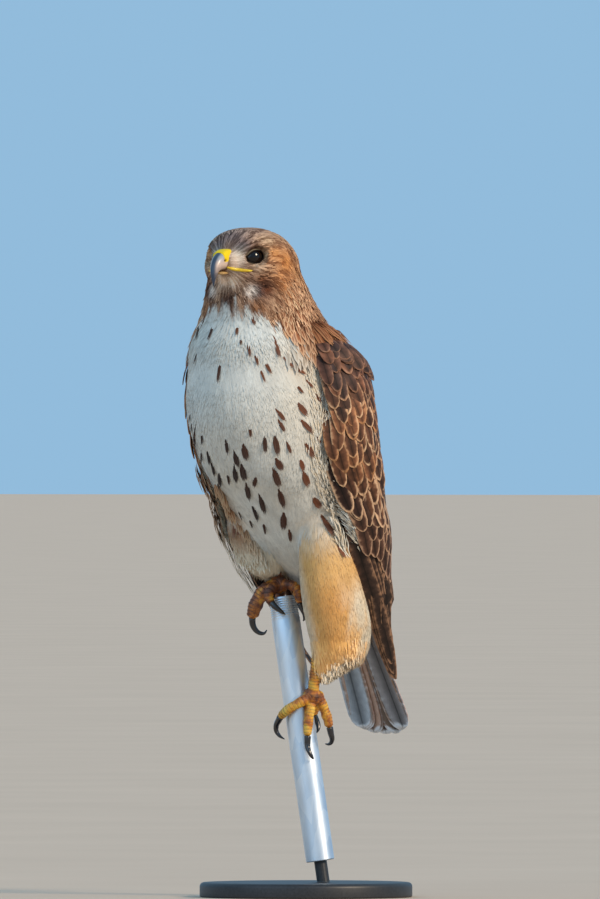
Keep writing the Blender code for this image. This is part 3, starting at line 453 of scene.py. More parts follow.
def sleeve(path, radius, around, along, outward=None):
    """A closed tube along a path. radius(share, cosine, sine) may swell it, cosine 1 facing outward."""
    points = np.array([curve(path, a) for a in np.linspace(0, len(path) - 1, along + 1)])
    ways = unit(np.gradient(points, axis=0))
    sides = []
    side = None
    for i, way in enumerate(ways):
        if outward is not None:
            side = outward(points[i])
        elif side is None:
            side = np.cross(way, (0.31, 0.52, 0.79))
        side = unit(side - way * np.dot(side, way))
        sides.append(side)

    def place(share, c, s):
        i = round(share * along)
        other = np.cross(ways[i], sides[i])
        reach = radius(share, c, s)
        return points[i] + reach * (c * sides[i] + s * other)
    return wrap(around, along, place)


def joined(forms):
    """One form that holds all of these."""
    whole = bmesh.new()
    for form in forms:
        mesh = bpy.data.meshes.new("piece")
        form.to_mesh(mesh)
        form.free()
        whole.from_mesh(mesh)
        bpy.data.meshes.remove(mesh)
    return whole


def fused(name, forms, voxel, rounds):
    """One skin over all these forms."""
    whole = joined(forms)
    mesh = bpy.data.meshes.new(name)
    whole.to_mesh(mesh)
    whole.free()
    rough = bpy.data.objects.new(name, mesh)
    bpy.context.scene.collection.objects.link(rough)
    remesh = rough.modifiers.new("skin", "REMESH")
    remesh.mode = "VOXEL"
    remesh.voxel_size = voxel
    graph = bpy.context.evaluated_depsgraph_get()
    made = bpy.data.meshes.new_from_object(rough.evaluated_get(graph))
    bpy.data.objects.remove(rough, do_unlink=True)
    form = bmesh.new()
    form.from_mesh(made)
    bpy.data.meshes.remove(made)
    for _ in range(rounds):
        bmesh.ops.smooth_vert(
            form, verts=form.verts, factor=0.5, use_axis_x=True, use_axis_y=True, use_axis_z=True,
        )
    return form


def places_of(form):
    return np.array([vert.co[:] for vert in form.verts])


def normals_of(form):
    return np.array([vert.normal[:] for vert in form.verts])


def tint(mesh, name, colours):
    """Stores a colour, of three or four numbers, at each point of a mesh."""
    layer = mesh.color_attributes.new(name, "FLOAT_COLOR", "POINT")
    four = np.ones((len(mesh.vertices), 4))
    four[:, :np.shape(colours)[-1]] = colours
    layer.data.foreach_set("color", four.ravel())


def raw_mesh(name, points, triangles):
    """A mesh from arrays, for the coat's many small things."""
    mesh = bpy.data.meshes.new(name)
    points = np.asarray(points, np.float32) - np.array((0, 0, FLOOR), np.float32)
    mesh.vertices.add(len(points))
    mesh.vertices.foreach_set("co", points.ravel())
    mesh.loops.add(3 * len(triangles))
    mesh.loops.foreach_set("vertex_index", np.asarray(triangles, np.int32).ravel())
    mesh.polygons.add(len(triangles))
    mesh.polygons.foreach_set("loop_start", np.arange(0, 3 * len(triangles), 3, dtype=np.int32))
    mesh.update(calc_edges=True)
    return mesh


# Materials

def material(name, roughness, **sockets):
    made = bpy.data.materials.new(name)
    made.use_nodes = True
    shader = made.node_tree.nodes["Principled BSDF"]
    shader.inputs["Roughness"].default_value = roughness
    for socket, value in sockets.items():
        shader.inputs[socket.replace("_", " ")].default_value = value
    return made, made.node_tree, shader


def feed(tree, socket, value):
    if isinstance(value, bpy.types.Node):
        value = value.outputs[0]
    if isinstance(value, bpy.types.NodeSocket):
        tree.links.new(value, socket)
    else:
        socket.default_value = value


def add(tree, kind, feeds=None, **settings):
    """A shader node. Each feed is a plain value, a socket, or a node whose first output is meant."""
    made = tree.nodes.new("ShaderNode" + kind)
    for key, value in settings.items():
        setattr(made, key, value)
    for key, value in (feeds or {}).items():
        feed(tree, made.inputs[key], value)
    return made


def reckon(tree, operation, *numbers):
    return add(tree, "Math", dict(enumerate(numbers)), operation=operation)


def scaled(tree, colour, amount):
    return add(tree, "VectorMath", {0: colour, "Scale": amount}, operation="SCALE")


def ranged(tree, value, start, end, low=0.0, high=1.0, kind="SMOOTHSTEP"):
    """A number brought from one range to another."""
    feeds = {"Value": value, "From Min": start, "From Max": end, "To Min": low, "To Max": high}
    return add(tree, "MapRange", feeds, interpolation_type=kind)


def on_object(tree):
    return add(tree, "TexCoord").outputs["Object"]


def noise_of(tree, place, scale, detail=2.0):
    return add(tree, "TexNoise", {"Vector": place, "Scale": scale, "Detail": detail})


def stored(tree, name):
    return add(tree, "Attribute", attribute_name=name)


def ramp(tree, value, stops):
    made = add(tree, "ValToRGB", {"Fac": value})
    elements = made.color_ramp.elements
    while len(elements) < len(stops):
        elements.new(0.5)
    for element, (place, colour) in zip(elements, stops):
        element.position = place
        element.color = (*shade(*colour), 1)
    return made


def finish_with(tree, shader, colour, height, strength, distance):
    """The shader's colour, and a bump from this height."""
    feed(tree, shader.inputs["Base Color"], colour)
    bump = add(tree, "Bump", {"Height": height, "Strength": strength, "Distance": distance})
    feed(tree, shader.inputs["Normal"], bump)


def barb_group():
    """Fine barbs and soft mottling: a colour made a little uneven, and a bump."""
    group = bpy.data.node_groups.new("feather_barbs", "ShaderNodeTree")
    group.interface.new_socket("Colour", in_out="INPUT", socket_type="NodeSocketColor")
    for label in ("Grain", "Amount", "Bump"):
        group.interface.new_socket(label, in_out="INPUT", socket_type="NodeSocketFloat")
    group.interface.new_socket("Colour", in_out="OUTPUT", socket_type="NodeSocketColor")
    group.interface.new_socket("Normal", in_out="OUTPUT", socket_type="NodeSocketVector")
    start = group.nodes.new("NodeGroupInput").outputs
    end = group.nodes.new("NodeGroupOutput").inputs
    place = on_object(group)
    grain = noise_of(group, place, start["Grain"], 3)
    off_middle = reckon(group, "SUBTRACT", reckon(group, "ADD", grain, noise_of(group, place, 90)), 1.0)
    uneven = reckon(group, "MULTIPLY_ADD", off_middle, start["Amount"], 1.0)
    feed(group, end["Colour"], scaled(group, start["Colour"], uneven))
    bump = add(group, "Bump", {"Height": grain, "Strength": start["Bump"], "Distance": 0.0004})
    feed(group, end["Normal"], bump)
    return group


BARBS = barb_group()


def coat_material(name, grain=900.0, amount=0.22, bump=0.15, roughness=0.8):
    made, tree, shader = material(name, roughness, Specular_IOR_Level=0.12)
    feeds = {"Colour": stored(tree, "tint"), "Grain": grain, "Amount": amount, "Bump": bump}
    barbs = add(tree, "Group", feeds, node_tree=BARBS)
    feed(tree, shader.inputs["Base Color"], barbs.outputs["Colour"])
    feed(tree, shader.inputs["Normal"], barbs.outputs["Normal"])
    return made


def vane_material(name, roughness=0.6, mottling=0.26):
    """A feather with a shaft and a rim: its two colours are stored on it, and its map Vane
    runs across it in U and from root to tip in V."""
    made, tree, shader = material(name, roughness, Specular_IOR_Level=0.22)
    heart = stored(tree, "tint")
    rim = stored(tree, "rim")
    parts = add(tree, "SeparateXYZ", {0: add(tree, "UVMap", uv_map="Vane")}).outputs
    off = reckon(tree, "ABSOLUTE", reckon(tree, "MULTIPLY_ADD", parts["X"], 2.0, -1.0))
    patchy = noise_of(tree, on_object(tree), 190)
    # distance from the rim: sides and tip together
    tip = ranged(tree, parts["Y"], heart.outputs["Alpha"], 1.0, kind="LINEAR")
    sides = reckon(tree, "POWER", off, 2.0)
    both = reckon(tree, "MULTIPLY_ADD", sides, rim.outputs["Alpha"], reckon(tree, "POWER", tip, 2.0))
    edge = ranged(tree, reckon(tree, "MULTIPLY_ADD", patchy, 1.0, both), 0.84, 1.42)
    mottle = ranged(tree, patchy, 0.32, 0.68, 1 - mottling, 1 + mottling)
    depth = reckon(tree, "MULTIPLY", ranged(tree, off, 0.0, 0.9, 0.50, 1.30), mottle)
    feeds = {"Factor": edge, 6: scaled(tree, heart, depth), 7: rim}
    rimmed = add(tree, "Mix", feeds, data_type="RGBA").outputs[2]
    # shaft: a thin darker line down the middle
    shafted = scaled(tree, rimmed, ranged(tree, off, 0.03, 0.10, 0.55, 1.0))
    # barbs run out and down from the shaft
    slant = add(tree, "CombineXYZ", {"X": reckon(tree, "MULTIPLY_ADD", off, -0.16, parts["Y"])})
    barbs = noise_of(tree, slant, 70)
    barbed = scaled(tree, shafted, reckon(tree, "MULTIPLY_ADD", barbs, 0.35, 0.82))
    finish_with(tree, shader, barbed, barbs, 0.35, 0.0003)
    return made


# Skin

COAT_DEPTH = 0.0030
HEAD_DEPTH = 0.0022
FINE_TORSO = fine(TORSO)
FINE_THIGHS = {1: fine(THIGH_FLESH), -1: fine(THIGH_RIGHT)}
FINE_WING = fine(WING)


def eye_frame(sign):
    turn = np.array((sign, 1, 1))
    face = np.array(EYE_FACE) * turn
    look = unit(np.array(EYE_LOOK) * turn)
    across = unit(np.cross(look, (0, 0, 1)))
    upward = np.cross(across, look)
    if upward[2] < 0:
        upward = -upward
    # the front corner sits lower than the rear one
    tilt = -EYE_TILT if across[1] < 0 else EYE_TILT
    across, upward = (
        across * math.cos(tilt) + upward * math.sin(tilt), upward * math.cos(tilt) - across * math.sin(tilt)
    )
    return face, look, across, upward


def egg(centre, radii, axes, around=24, along=16):
    centre = np.asarray(centre)

    def place(share, c, s):
        a = math.pi * share
        wide = math.sin(a)
        return (
            centre + radii[0] * c * wide * axes[0] + radii[1] * s * wide * axes[1]
            - radii[2] * math.cos(a) * axes[2]
        )
    return wrap(around, along, place)


def wing_face(height, across):
    """Points of the wing's outer face, from front edge 0 to rear edge 1."""
    height, t = np.broadcast_arrays(np.asarray(height, float), np.asarray(across, float))
    c = [column(FINE_WING, height, k) for k in range(1, 7)]
    w0, w1, w2 = (1 - t) * (1 - 2 * t), 4 * t * (1 - t), t * (2 * t - 1)
    x = w0 * c[0] + w1 * c[2] + w2 * c[4]
    y = w0 * c[1] + w1 * c[3] + w2 * c[5]
    return np.stack((x, y, height), axis=-1)


def wing_axes(height, across):
    """The face's points, the ways back across it, down it and out of it."""
    top = WING[-1][0]
    height = np.clip(height, WING[0][0], top)
    across = np.clip(across, 0, 1)
    centre = wing_face(height, across)
    low = np.maximum(height - 0.004, WING[0][0])
    high = np.minimum(height + 0.004, top)
    down = unit(wing_face(low, across) - wing_face(high, across))
    back = unit(
        wing_face(height, np.minimum(across + 0.04, 1)) - wing_face(height, np.maximum(across - 0.04, 0))
    )
    out = unit(np.cross(down, back))
    flip = np.sum(out[..., :2] * (centre[..., :2] - (0, 0.01)), axis=-1) < 0
    out = np.where(flip[..., None], -out, out)
    back = unit(back - down * np.sum(back * down, axis=-1, keepdims=True))
    return centre, back, down, out


def wing_bed(sign):
    """The flesh under the wing's feathers."""
    def place(share, c, s):
        height = BED_LOW + (BED_HIGH - BED_LOW) * share
        middle, half = BED_ACROSS[sign]
        across = middle + half * power(c, BED_POWER)
        thick = 0.0035 + 0.0125 * math.sin(math.pi * min(share * 1.25, 0.5))
        if c == 0 and s == 0:
            across = 0.5
        centre, back, down, out = wing_axes(height, across)
        depth = BED_SUNK + thick * (0.5 - 0.5 * power(s, BED_POWER))
        return (centre - out * depth) * (sign, 1, 1)
    return wrap(40, 40, place)


def build_skin():
    forms = [torso_form(COAT_DEPTH), head_form(HEAD_DEPTH)]
    forms.append(thigh_form(THIGH_FLESH, COAT_DEPTH))
    forms.append(thigh_form(THIGH_RIGHT, COAT_DEPTH))
    root, along, side, out = tail_frame()
    widths = np.array(TAIL_COVERTS)

    def rump(share, c, s):
        reach = share * TAIL_COVERTS[-1][0] * 0.9
        wide = np.interp(reach, widths[:, 0], widths[:, 1]) - COAT_DEPTH
        deep = np.interp(reach, widths[:, 0], widths[:, 2]) - 0.002
        return root + along * reach + side * wide * c + out * max(deep, 0.001) * s
    forms.append(wrap(28, 24, rump))
    forms.append(egg(MUZZLE, MUZZLE_HALF, np.eye(3)))
    for sign in (1, -1):
        face, look, across, upward = eye_frame(sign)
        brow = face + upward * BROW_RISE - look * (BROW_SUNK + 0.001)
        forms.append(egg(brow, BROW_HALF, (across, upward, look)))
        forms.append(wing_bed(sign))
    form = fused("skin", forms, SKIN_VOXEL, 4)
    # the hollow that each eye sits in
    for sign in (1, -1):
        face, look, across, upward = eye_frame(sign)
        axes = np.array((across, upward, look))
        for vert in form.verts:
            local = axes @ (np.array(vert.co) - face)
            wide = (local[0] / DISH_HALF[0]) ** 2 + (local[1] / DISH_HALF[1]) ** 2
            if wide < 1 and local[2] > -0.02:
                local[2] = min(local[2], -DISH_HALF[2] * math.sqrt(1 - wide))
                vert.co = Vector(face + local @ axes)
    return form


def tail_frame():
    root = np.array(TAIL_ROOT)
    along = unit(TAIL_POINTS)
    side = np.array((1.0, 0.0, 0.0))
    return root, along, side, unit(np.cross(side, along))


def thigh_reach(points, sign):
    """How far out of a thigh's own form points lie: 1 on it."""
    table = FINE_THIGHS[sign]
    x, y, z = points.T
    q = np.abs((x - column(table, z, 1)) / column(table, z, 3)) ** 2
    q = q + np.abs((y - column(table, z, 2)) / column(table, z, 4)) ** 2
    q = np.sqrt(q)
    above = np.maximum(z - table[-1, 0], 0) + np.maximum(table[0, 0] - z, 0)
    return q + above / 0.006


def torso_reach(points):
    x, y, z = points.T
    middle = column(FINE_TORSO, z, 1)
    width = column(FINE_TORSO, z, 2)
    depth = np.where(y > middle, column(FINE_TORSO, z, 4), column(FINE_TORSO, z, 3))
    q = np.sqrt(np.abs(x / width) ** 2 + np.abs((y - middle) / depth) ** 2)
    return q + np.maximum(FINE_TORSO[0, 0] - z, 0) / 0.006


def round_body(points):
    """The angle round the body: 0 in front, to pi behind, negative on its right."""
    x, y, z = points.T
    return np.arctan2(x, -(y - column(FINE_TORSO, z, 1)))


def limb(points):
    """1 on the left thigh, -1 on the right one, 0 elsewhere."""
    torso = torso_reach(points)
    left = thigh_reach(points, 1)
    right = thigh_reach(points, -1)
    on_left = (left < torso * 0.98) & (left < 1.25) & (points[:, 2] < 0.452)
    on_right = (right < torso * 0.98) & (right < 1.25) & (points[:, 2] < 0.478)
    return on_left.astype(int) - on_right.astype(int)


BILL_ROOT = np.array((0.0, -0.142, 0.668))
VENT = np.array((0.0, 0.045, 0.335))


def bill_gap(points):
    return np.linalg.norm(points - BILL_ROOT, axis=1)


def lie(points, normals, on_limb):
    """Which way the coat lies at each point, along the skin."""
    x, z = points[:, 0], points[:, 2]
    reach = bill_gap(points)
    down = np.zeros_like(points)
    down[:, 2] = -1
    fan = 0.55 * smooth(z, 0.49, 0.56) * (1 - smooth(z, 0.60, 0.64)) * np.clip(x / 0.05, -1, 1)
    down[:, 0] = fan
    belly = 0.55 * (1 - smooth(z, 0.42, 0.54))
    way = mix(unit(down), unit(VENT - points), belly)
    face = 1 - smooth(reach, 0.035, 0.085)
    way = mix(way, unit(points - BILL_ROOT), face)
    for sign, leg_way in ((1, (0.0, 0.26, -0.96)), (-1, (0.0, 0.12, -0.99))):
        way = np.where((on_limb == sign)[:, None], leg_way, way)
    root, along, side, out = tail_frame()
    from_root = (points - root) @ along
    on_tail = smooth(from_root, 0.02, 0.05) * (on_limb == 0) * (z < 0.41)
    way = mix(way, along + np.zeros_like(points), on_tail)
    way = way - normals * np.sum(way * normals, axis=1, keepdims=True)
    return unit(way)


# Plumage colours

WHITE = shade(212, 212, 206)
CREAM = shade(218, 200, 172)
UMBER = shade(44, 28, 24)
RUFOUS = shade(116, 64, 36)
BUFF = shade(214, 172, 134)
GOLD = shade(208, 154, 84)
PALE_GOLD = shade(226, 190, 132)
HEM = shade(220, 208, 186)
MANTLE = shade(92, 64, 52)
MANTLE_RIM = shade(176, 128, 96)

# Patches of the head and neck: photo place, spread in pixels, middle colour, edge colour, strength
HEAD_PATCHES = (
    ("nape", 300, 268, 16, (134, 70, 38), (216, 158, 108), 0.9),
    ("nape_low", 318, 308, 18, (104, 58, 38), (200, 148, 108), 0.9),
    ("crown", 248, 232, 20, (96, 66, 56), (206, 172, 150), 1.0),
    ("crown_back", 282, 241, 13, (158, 102, 66), (234, 188, 148), 0.95),
    ("crown_front", 232, 238, 12, (72, 54, 54), (172, 146, 136), 1.0),
    # the far side of the crown in dark blue-grey: painted shade of the side turned from the light
    ("crown_far_shade", 210, 246, 12, (48, 42, 52), (108, 96, 106), 1.0),
    ("cheek", 284, 262, 14, (162, 80, 30), (232, 158, 92), 0.95),
    ("cheek_low", 280, 282, 12, (128, 64, 30), (220, 150, 92), 0.95),
    ("behind_eye", 273, 254, 8, (192, 102, 40), (236, 164, 98), 0.95),
    ("brow", 266, 243, 8, (186, 142, 104), (228, 192, 156), 0.95),
    ("brow_front", 243, 249, 5, (88, 68, 62), (146, 122, 110), 0.9),
    ("under_eye", 258, 267, 7, (208, 166, 132), (232, 204, 176), 0.95),
    ("eye_rear", 267, 256, 4, (216, 170, 126), (236, 204, 168), 0.9),
    ("lores", 237, 259, 9, (224, 202, 178), (240, 226, 210), 1.0),
    ("lores_low", 236, 268, 6, (204, 176, 154), (226, 206, 188), 1.0),
    ("below_gape", 249, 277, 6, (138, 92, 68), (200, 158, 132), 0.95),
    ("throat", 230, 301, 11, (44, 28, 24), (112, 78, 64), 1.0),
    # the far side under the bill: a dark throat, with the blue-grey shade of the side away from the light
    # painted in
    ("throat_far_shade", 211, 292, 11, (44, 38, 42), (96, 86, 90), 1.0),
    ("throat_low", 258, 309, 10, (92, 48, 28), (178, 120, 80), 0.9),
    ("moustache", 262, 280, 7, (84, 48, 34), (140, 92, 64), 0.95),
    ("malar", 267, 290, 9, (52, 26, 18), (112, 64, 42), 1.0),
    ("chin", 233, 281, 8, (238, 196, 160), (250, 232, 212), 1.0),
    ("malar_pale", 250.5, 292, 5.5, (236, 210, 190), (248, 234, 220), 1.0),
    # a dark line over the eye: painted shadow of the brow ridge
    ("brow_shadow", 256, 246, 4, (64, 42, 34), (112, 80, 64), 0.9),
    ("neck_side", 294, 300, 15, (152, 76, 36), (244, 198, 156), 1.0),
    ("neck_front", 284, 322, 13, (164, 84, 42), (240, 194, 150), 0.95),
)

# Shaft streaks and spots of the breast and belly, in photo pixels: top, bottom, width, tone
# (0 umber, 1 rufous)
STREAKS = (
    (237.7, 323, 237.9, 337, 2.2, 0.6), (241.9, 338, 241.9, 347, 1.8, 0.5),
    (247.9, 340, 251, 358, 2.0, 0.6), (254.7, 351, 258.4, 366, 2.0, 0.7), (263, 359, 271, 374, 2.2, 0.8),
    (251.6, 313, 255.2, 326, 3.0, 0.6), (221.6, 359, 219.5, 383, 2.2, 0.3),
    (214.7, 320, 210.5, 342, 2.2, 0.2), (202.5, 320, 198.4, 342, 2.6, 0.2),
    (199, 350, 197, 364, 1.6, 0.2), (271.5, 331, 278.9, 359, 3.4, 0.8), (281, 356, 292, 368, 2.6, 0.9),
    (292, 367, 305, 375, 2.0, 0.9), (259.4, 367, 265.2, 383, 1.5, 0.8), (304.2, 379, 311, 388, 2.5, 0.7),
    (294.7, 384, 302, 394, 2.0, 0.6), (310.5, 390, 319.4, 402, 4.0, 0.5),
    (294.7, 400, 305.2, 415, 5.6, 0.7), (274.7, 408, 284.2, 420, 3.2, 0.6),
    (276.8, 418, 284.2, 431, 3.0, 0.5), (296.8, 416, 310.5, 432, 4.0, 0.6),
    (188.9, 418, 190.5, 435, 2.0, 0.1), (191.6, 411, 192.6, 422, 1.8, 0.1),
    (197.4, 424, 196.8, 442, 2.4, 0.1), (202.5, 430, 205, 444, 2.0, 0.1), (196, 433, 198, 447, 2.0, 0.1),
    (193.0, 448, 195.2, 462, 2.0, 0.1), (198.4, 449, 200.5, 461, 2.0, 0.1),
    (207.5, 448, 212.4, 463, 4.2, 0.0), (211.6, 459, 217.2, 474, 4.0, 0.0),
    (219.8, 470, 222.4, 484, 4.6, 0.0), (217.9, 481, 223.2, 493, 3.0, 0.0),
    (226, 436, 229.4, 452, 3.0, 0.1), (234, 448, 239.7, 465, 5.2, 0.1), (234.5, 462, 238, 480, 4.8, 0.0),
    (242.6, 440, 247.7, 458, 6.0, 0.3), (241.4, 460, 246, 478, 6.2, 0.1),
    (246, 479, 250.6, 497, 5.0, 0.1), (251.2, 502, 259.2, 518, 3.6, 0.0),
    (256.8, 474, 255, 484, 3.6, 0.2), (258.6, 491, 265.5, 510, 5.0, 0.1),
    (264.4, 431, 265.5, 451, 3.6, 0.2), (273.6, 430, 277.6, 453, 5.6, 0.3),
    (274.7, 456, 281.6, 468, 6.2, 0.4), (271.8, 463, 279.3, 484, 6.0, 0.3),
    (277.6, 484, 283.9, 504, 5.6, 0.3), (284, 508, 284, 527, 6.0, 0.3), (289, 527, 291.4, 539, 3.0, 0.4),
    (302.8, 440, 312, 456, 6.0, 0.6), (298.8, 456, 302.8, 469, 4.0, 0.8),
    (301.5, 467, 307, 484, 6.4, 0.7), (310.9, 494, 319.5, 506, 6.0, 0.7),
    (319.5, 512, 332.7, 535, 5.0, 0.8), (335, 542, 343, 557, 3.4, 0.9),
    (237.4, 508, 244.3, 518, 1.6, 0.1), (248.9, 517, 254.6, 526, 1.6, 0.1),
    (314, 434, 319, 442, 2.6, 0.4), (228, 470, 231, 482, 2.0, 0.1), (206, 474, 210, 486, 2.0, 0.1),
    (263, 520, 267, 532, 2.0, 0.2), (188, 400, 188.6, 412, 1.4, 0.1), (250, 425, 251.5, 436, 2.0, 0.4),
    (286, 440, 290, 452, 2.6, 0.5),
)


def photo_hit(tree, px, py):
    """Where a line of sight of the photo meets a skin, with the skin's way out there."""
    start = on_photo(px, py) + NEAR * 0.5
    found = tree.ray_cast(Vector(start), Vector(-NEAR))
    if found[0] is None:
        return None, None
    return np.array(found[0]), np.array(found[1])


# Patches of the body, in the same way
BODY_PATCHES = (
    ("thigh_gold", 330, 600, 20, (206, 140, 72), (224, 172, 110), 0.55),
    ("thigh_gold_low", 334, 632, 16, (210, 144, 74), (224, 172, 110), 0.6),
    ("flank", 316, 520, 16, (214, 190, 160), (224, 206, 184), 0.7),
    ("hood_drip", 300, 352, 14, (204, 164, 128), (228, 206, 184), 0.6),
)


def placed(tree, patches):
    """Each patch with its place on the skin. One whose line of sight misses is tried further in."""
    found = []
    for name, px, py, spread, heart, rim, amount in patches:
        place = photo_hit(tree, px, py)[0]
        if place is None:
            inward = PATCH_STEP[0] if px < HEAD_MIDDLE else -PATCH_STEP[0]
            place = photo_hit(tree, px + inward, py + PATCH_STEP[1])[0]
        if place is not None:
            found.append((place, spread * PIXEL, shade(*heart), shade(*rim), amount))
    return found


def blotted(points, patches, heart, rim):
    """Colours with each patch laid on them, on both sides of the bird alike."""
    mirror = points.copy()
    for place, spread, patch_heart, patch_rim, amount in patches:
        mirror[:, 0] = np.abs(points[:, 0]) * (1 if place[0] >= 0 else -1)
        share = amount * np.exp(-((np.linalg.norm(mirror - place, axis=1) / spread) ** 2))
        heart = mix(heart, patch_heart, share)
        rim = mix(rim, patch_rim, share)
    return heart, rim


def thigh_tones(points, soft, wide):
    """The left thigh: golden, with a pale front edge and hem."""
    x, y, z = points.T
    thigh = FINE_THIGHS[1]
    across = (x - column(thigh, z, 1)) * RIGHT[0] + (y - column(thigh, z, 2)) * RIGHT[1]
    across = across / THIGH_HALF
    ahead = smooth(-across, 0.60, 0.92)
    behind = smooth(across + 0.7 * (soft[:, 0] - 0.5), 0.15, 1.0) * (1 - smooth(z, 0.350, 0.390))
    hem = 1 - smooth(z + 0.016 * (soft[:, 0] - 0.5), 0.284, 0.312)
    hem = np.maximum(hem * smooth(across, -0.45, 0.35), behind)
    high = smooth(z, 0.390, 0.425)
    # painted light: the low thigh, which faces the floor, is made lighter, on top of its pale hem
    painted_light_low = 1.04 + 0.70 * (1 - smooth(z, 0.300, 0.350))[:, None]
    gold = mix(GOLD * (0.92 + 0.16 * soft), PALE_GOLD, 0.45 * wide[:, 0]) * painted_light_low
    gold = mix(gold, HEM, np.clip(0.75 * ahead + hem + 0.7 * high, 0, 1))
    return gold, mix(gold, HEM, 0.22)


class Plumage:
    """The colours of the coat at any point of the skin."""

    def __init__(self, tree):
        self.head = placed(tree, HEAD_PATCHES)
        self.body = placed(tree, BODY_PATCHES)

    def hood(self, points):
        """1 where the brown hood, neck and back are, 0 on the white breast."""
        z = points[:, 2]
        round_it = np.abs(round_body(points))
        streaky = cloud(points * (1, 1, 0.22), 0.0035) - 0.5
        low = 0.624 - 0.034 * smooth(round_it, 0.35, 1.25) + 0.024 * streaky
        front = smooth(z, low - 0.004, low + 0.006)
        back = smooth(round_it + 0.25 * streaky, 1.85, 2.1)
        return np.maximum(front, back)

    def hood_tones(self, points):
        """The hood's patches, with the mantle's brown behind."""
        y, z = points[:, 1], points[:, 2]
        plain = np.ones((len(points), 1))
        heart, rim = blotted(points, self.head, shade(140, 86, 56) * plain, shade(214, 172, 138) * plain)
        back = smooth(y - column(FINE_TORSO, z, 1), 0.0, 0.03) * (1 - smooth(z, 0.60, 0.645))
        return mix(heart, MANTLE, back), mix(rim, MANTLE_RIM, back)

    def colours(self, points, on_limb):
        """Middle and edge colours of the feathers rooted at these points."""
        z = points[:, 2]
        soft = cloud(points * (1, 1, 0.3), 0.006)[:, None]
        wide = cloud(points + 3.0, 0.030)[:, None]
        # a white breast, warmer on the flanks and in the hollow by the wing
        heart = mix(WHITE, CREAM, np.clip(0.15 + 0.5 * (wide[:, 0] - 0.4), 0, 1)) * (0.93 + 0.12 * soft)
        rim = WHITE * np.ones((len(points), 1))
        warm = 0.55 * smooth(np.abs(round_body(points)), 0.5, 1.4)
        heart = mix(heart, CREAM, warm)
        rim = mix(rim, CREAM, warm * 0.6)
        hood = self.hood(points)
        hood_heart, hood_rim = self.hood_tones(points)
        heart = mix(heart, hood_heart, hood)
        rim = mix(rim, hood_rim, hood)
        # the rump and the tail's root: brown above, white below
        root, along, side, out = tail_frame()
        above = ((points - root) @ out)[:, None] > 0
        rump = (1 - smooth(z, 0.40, 0.43)) * (on_limb == 0) * smooth((points - root) @ along, 0.0, 0.02)
        coverts = mix(shade(150, 96, 62), MANTLE, smooth(z, 0.36, 0.41))
        heart = mix(heart, np.where(above, coverts, WHITE), rump)
        rim = mix(rim, np.where(above, BUFF, WHITE), rump)
        # thighs
        left = (on_limb > 0)[:, None]
        right = (on_limb < 0)[:, None]
        gold, gold_rim = thigh_tones(points, soft, wide)
        far = mix(shade(196, 176, 150), HEM, 1 - smooth(z, 0.39, 0.42)) * (0.9 + 0.2 * soft)
        heart = np.where(right, far, np.where(left, gold, heart))
        rim = np.where(right, HEM, np.where(left, gold_rim, rim))
        heart, rim = blotted(points, self.body, heart, rim)
        brown = in_flank(points) * (0.75 + 0.25 * soft[:, 0])
        heart = mix(heart, shade(120, 80, 54) * (0.6 + 0.8 * soft), brown)
        return heart, mix(rim, shade(200, 162, 124), brown * 0.9)


# The coat

# A long tuft bends twice on its way; a short one, of the head, once. Faces and places on the map
LONG_FACES = np.array((
    (0, 2, 1), (0, 3, 2), (0, 1, 3),
    (1, 5, 4), (1, 2, 5), (2, 6, 5), (2, 3, 6), (3, 4, 6), (3, 1, 4),
    (4, 5, 7), (5, 6, 7), (6, 4, 7),
))
SHORT_FACES = np.array(((0, 2, 1), (0, 3, 2), (0, 1, 3), (1, 2, 4), (2, 3, 4), (3, 1, 4)))
# The faces on a tuft's under side
LONG_UNDER = (2, 7, 8, 11)
SHORT_UNDER = (2, 5)
LONG_SPOTS = np.array(((0, -1), (-1, -0.3), (0, -0.3), (1, -0.3), (-1, 0.5), (0, 0.5), (1, 0.5), (0, 1)))
SHORT_SPOTS = np.array(((0, -1), (-1, 0), (0, 0), (1, 0), (0, 1)))
# The most triangles that a piece of the coat has
PIECE_TRIANGLES = 192000

# How many tufts each part of the coat has
TUFTS = {
    "head": 60000, "body": 66000, "mantle": 3400, "strokes": 7000, "wing fringe": 900, "cape": 360,
    "left hem": 5200, "right hem": 1100, "far wing": 190, "flank": 400,
}

# Where a tuft bends, as shares of its length
LONG_BENDS = (0.40, 0.35, 0.25)
SHORT_BENDS = (0.45, 0.55)

# How far a tuft's middle stands up, as a share of its width
CREST = 0.13


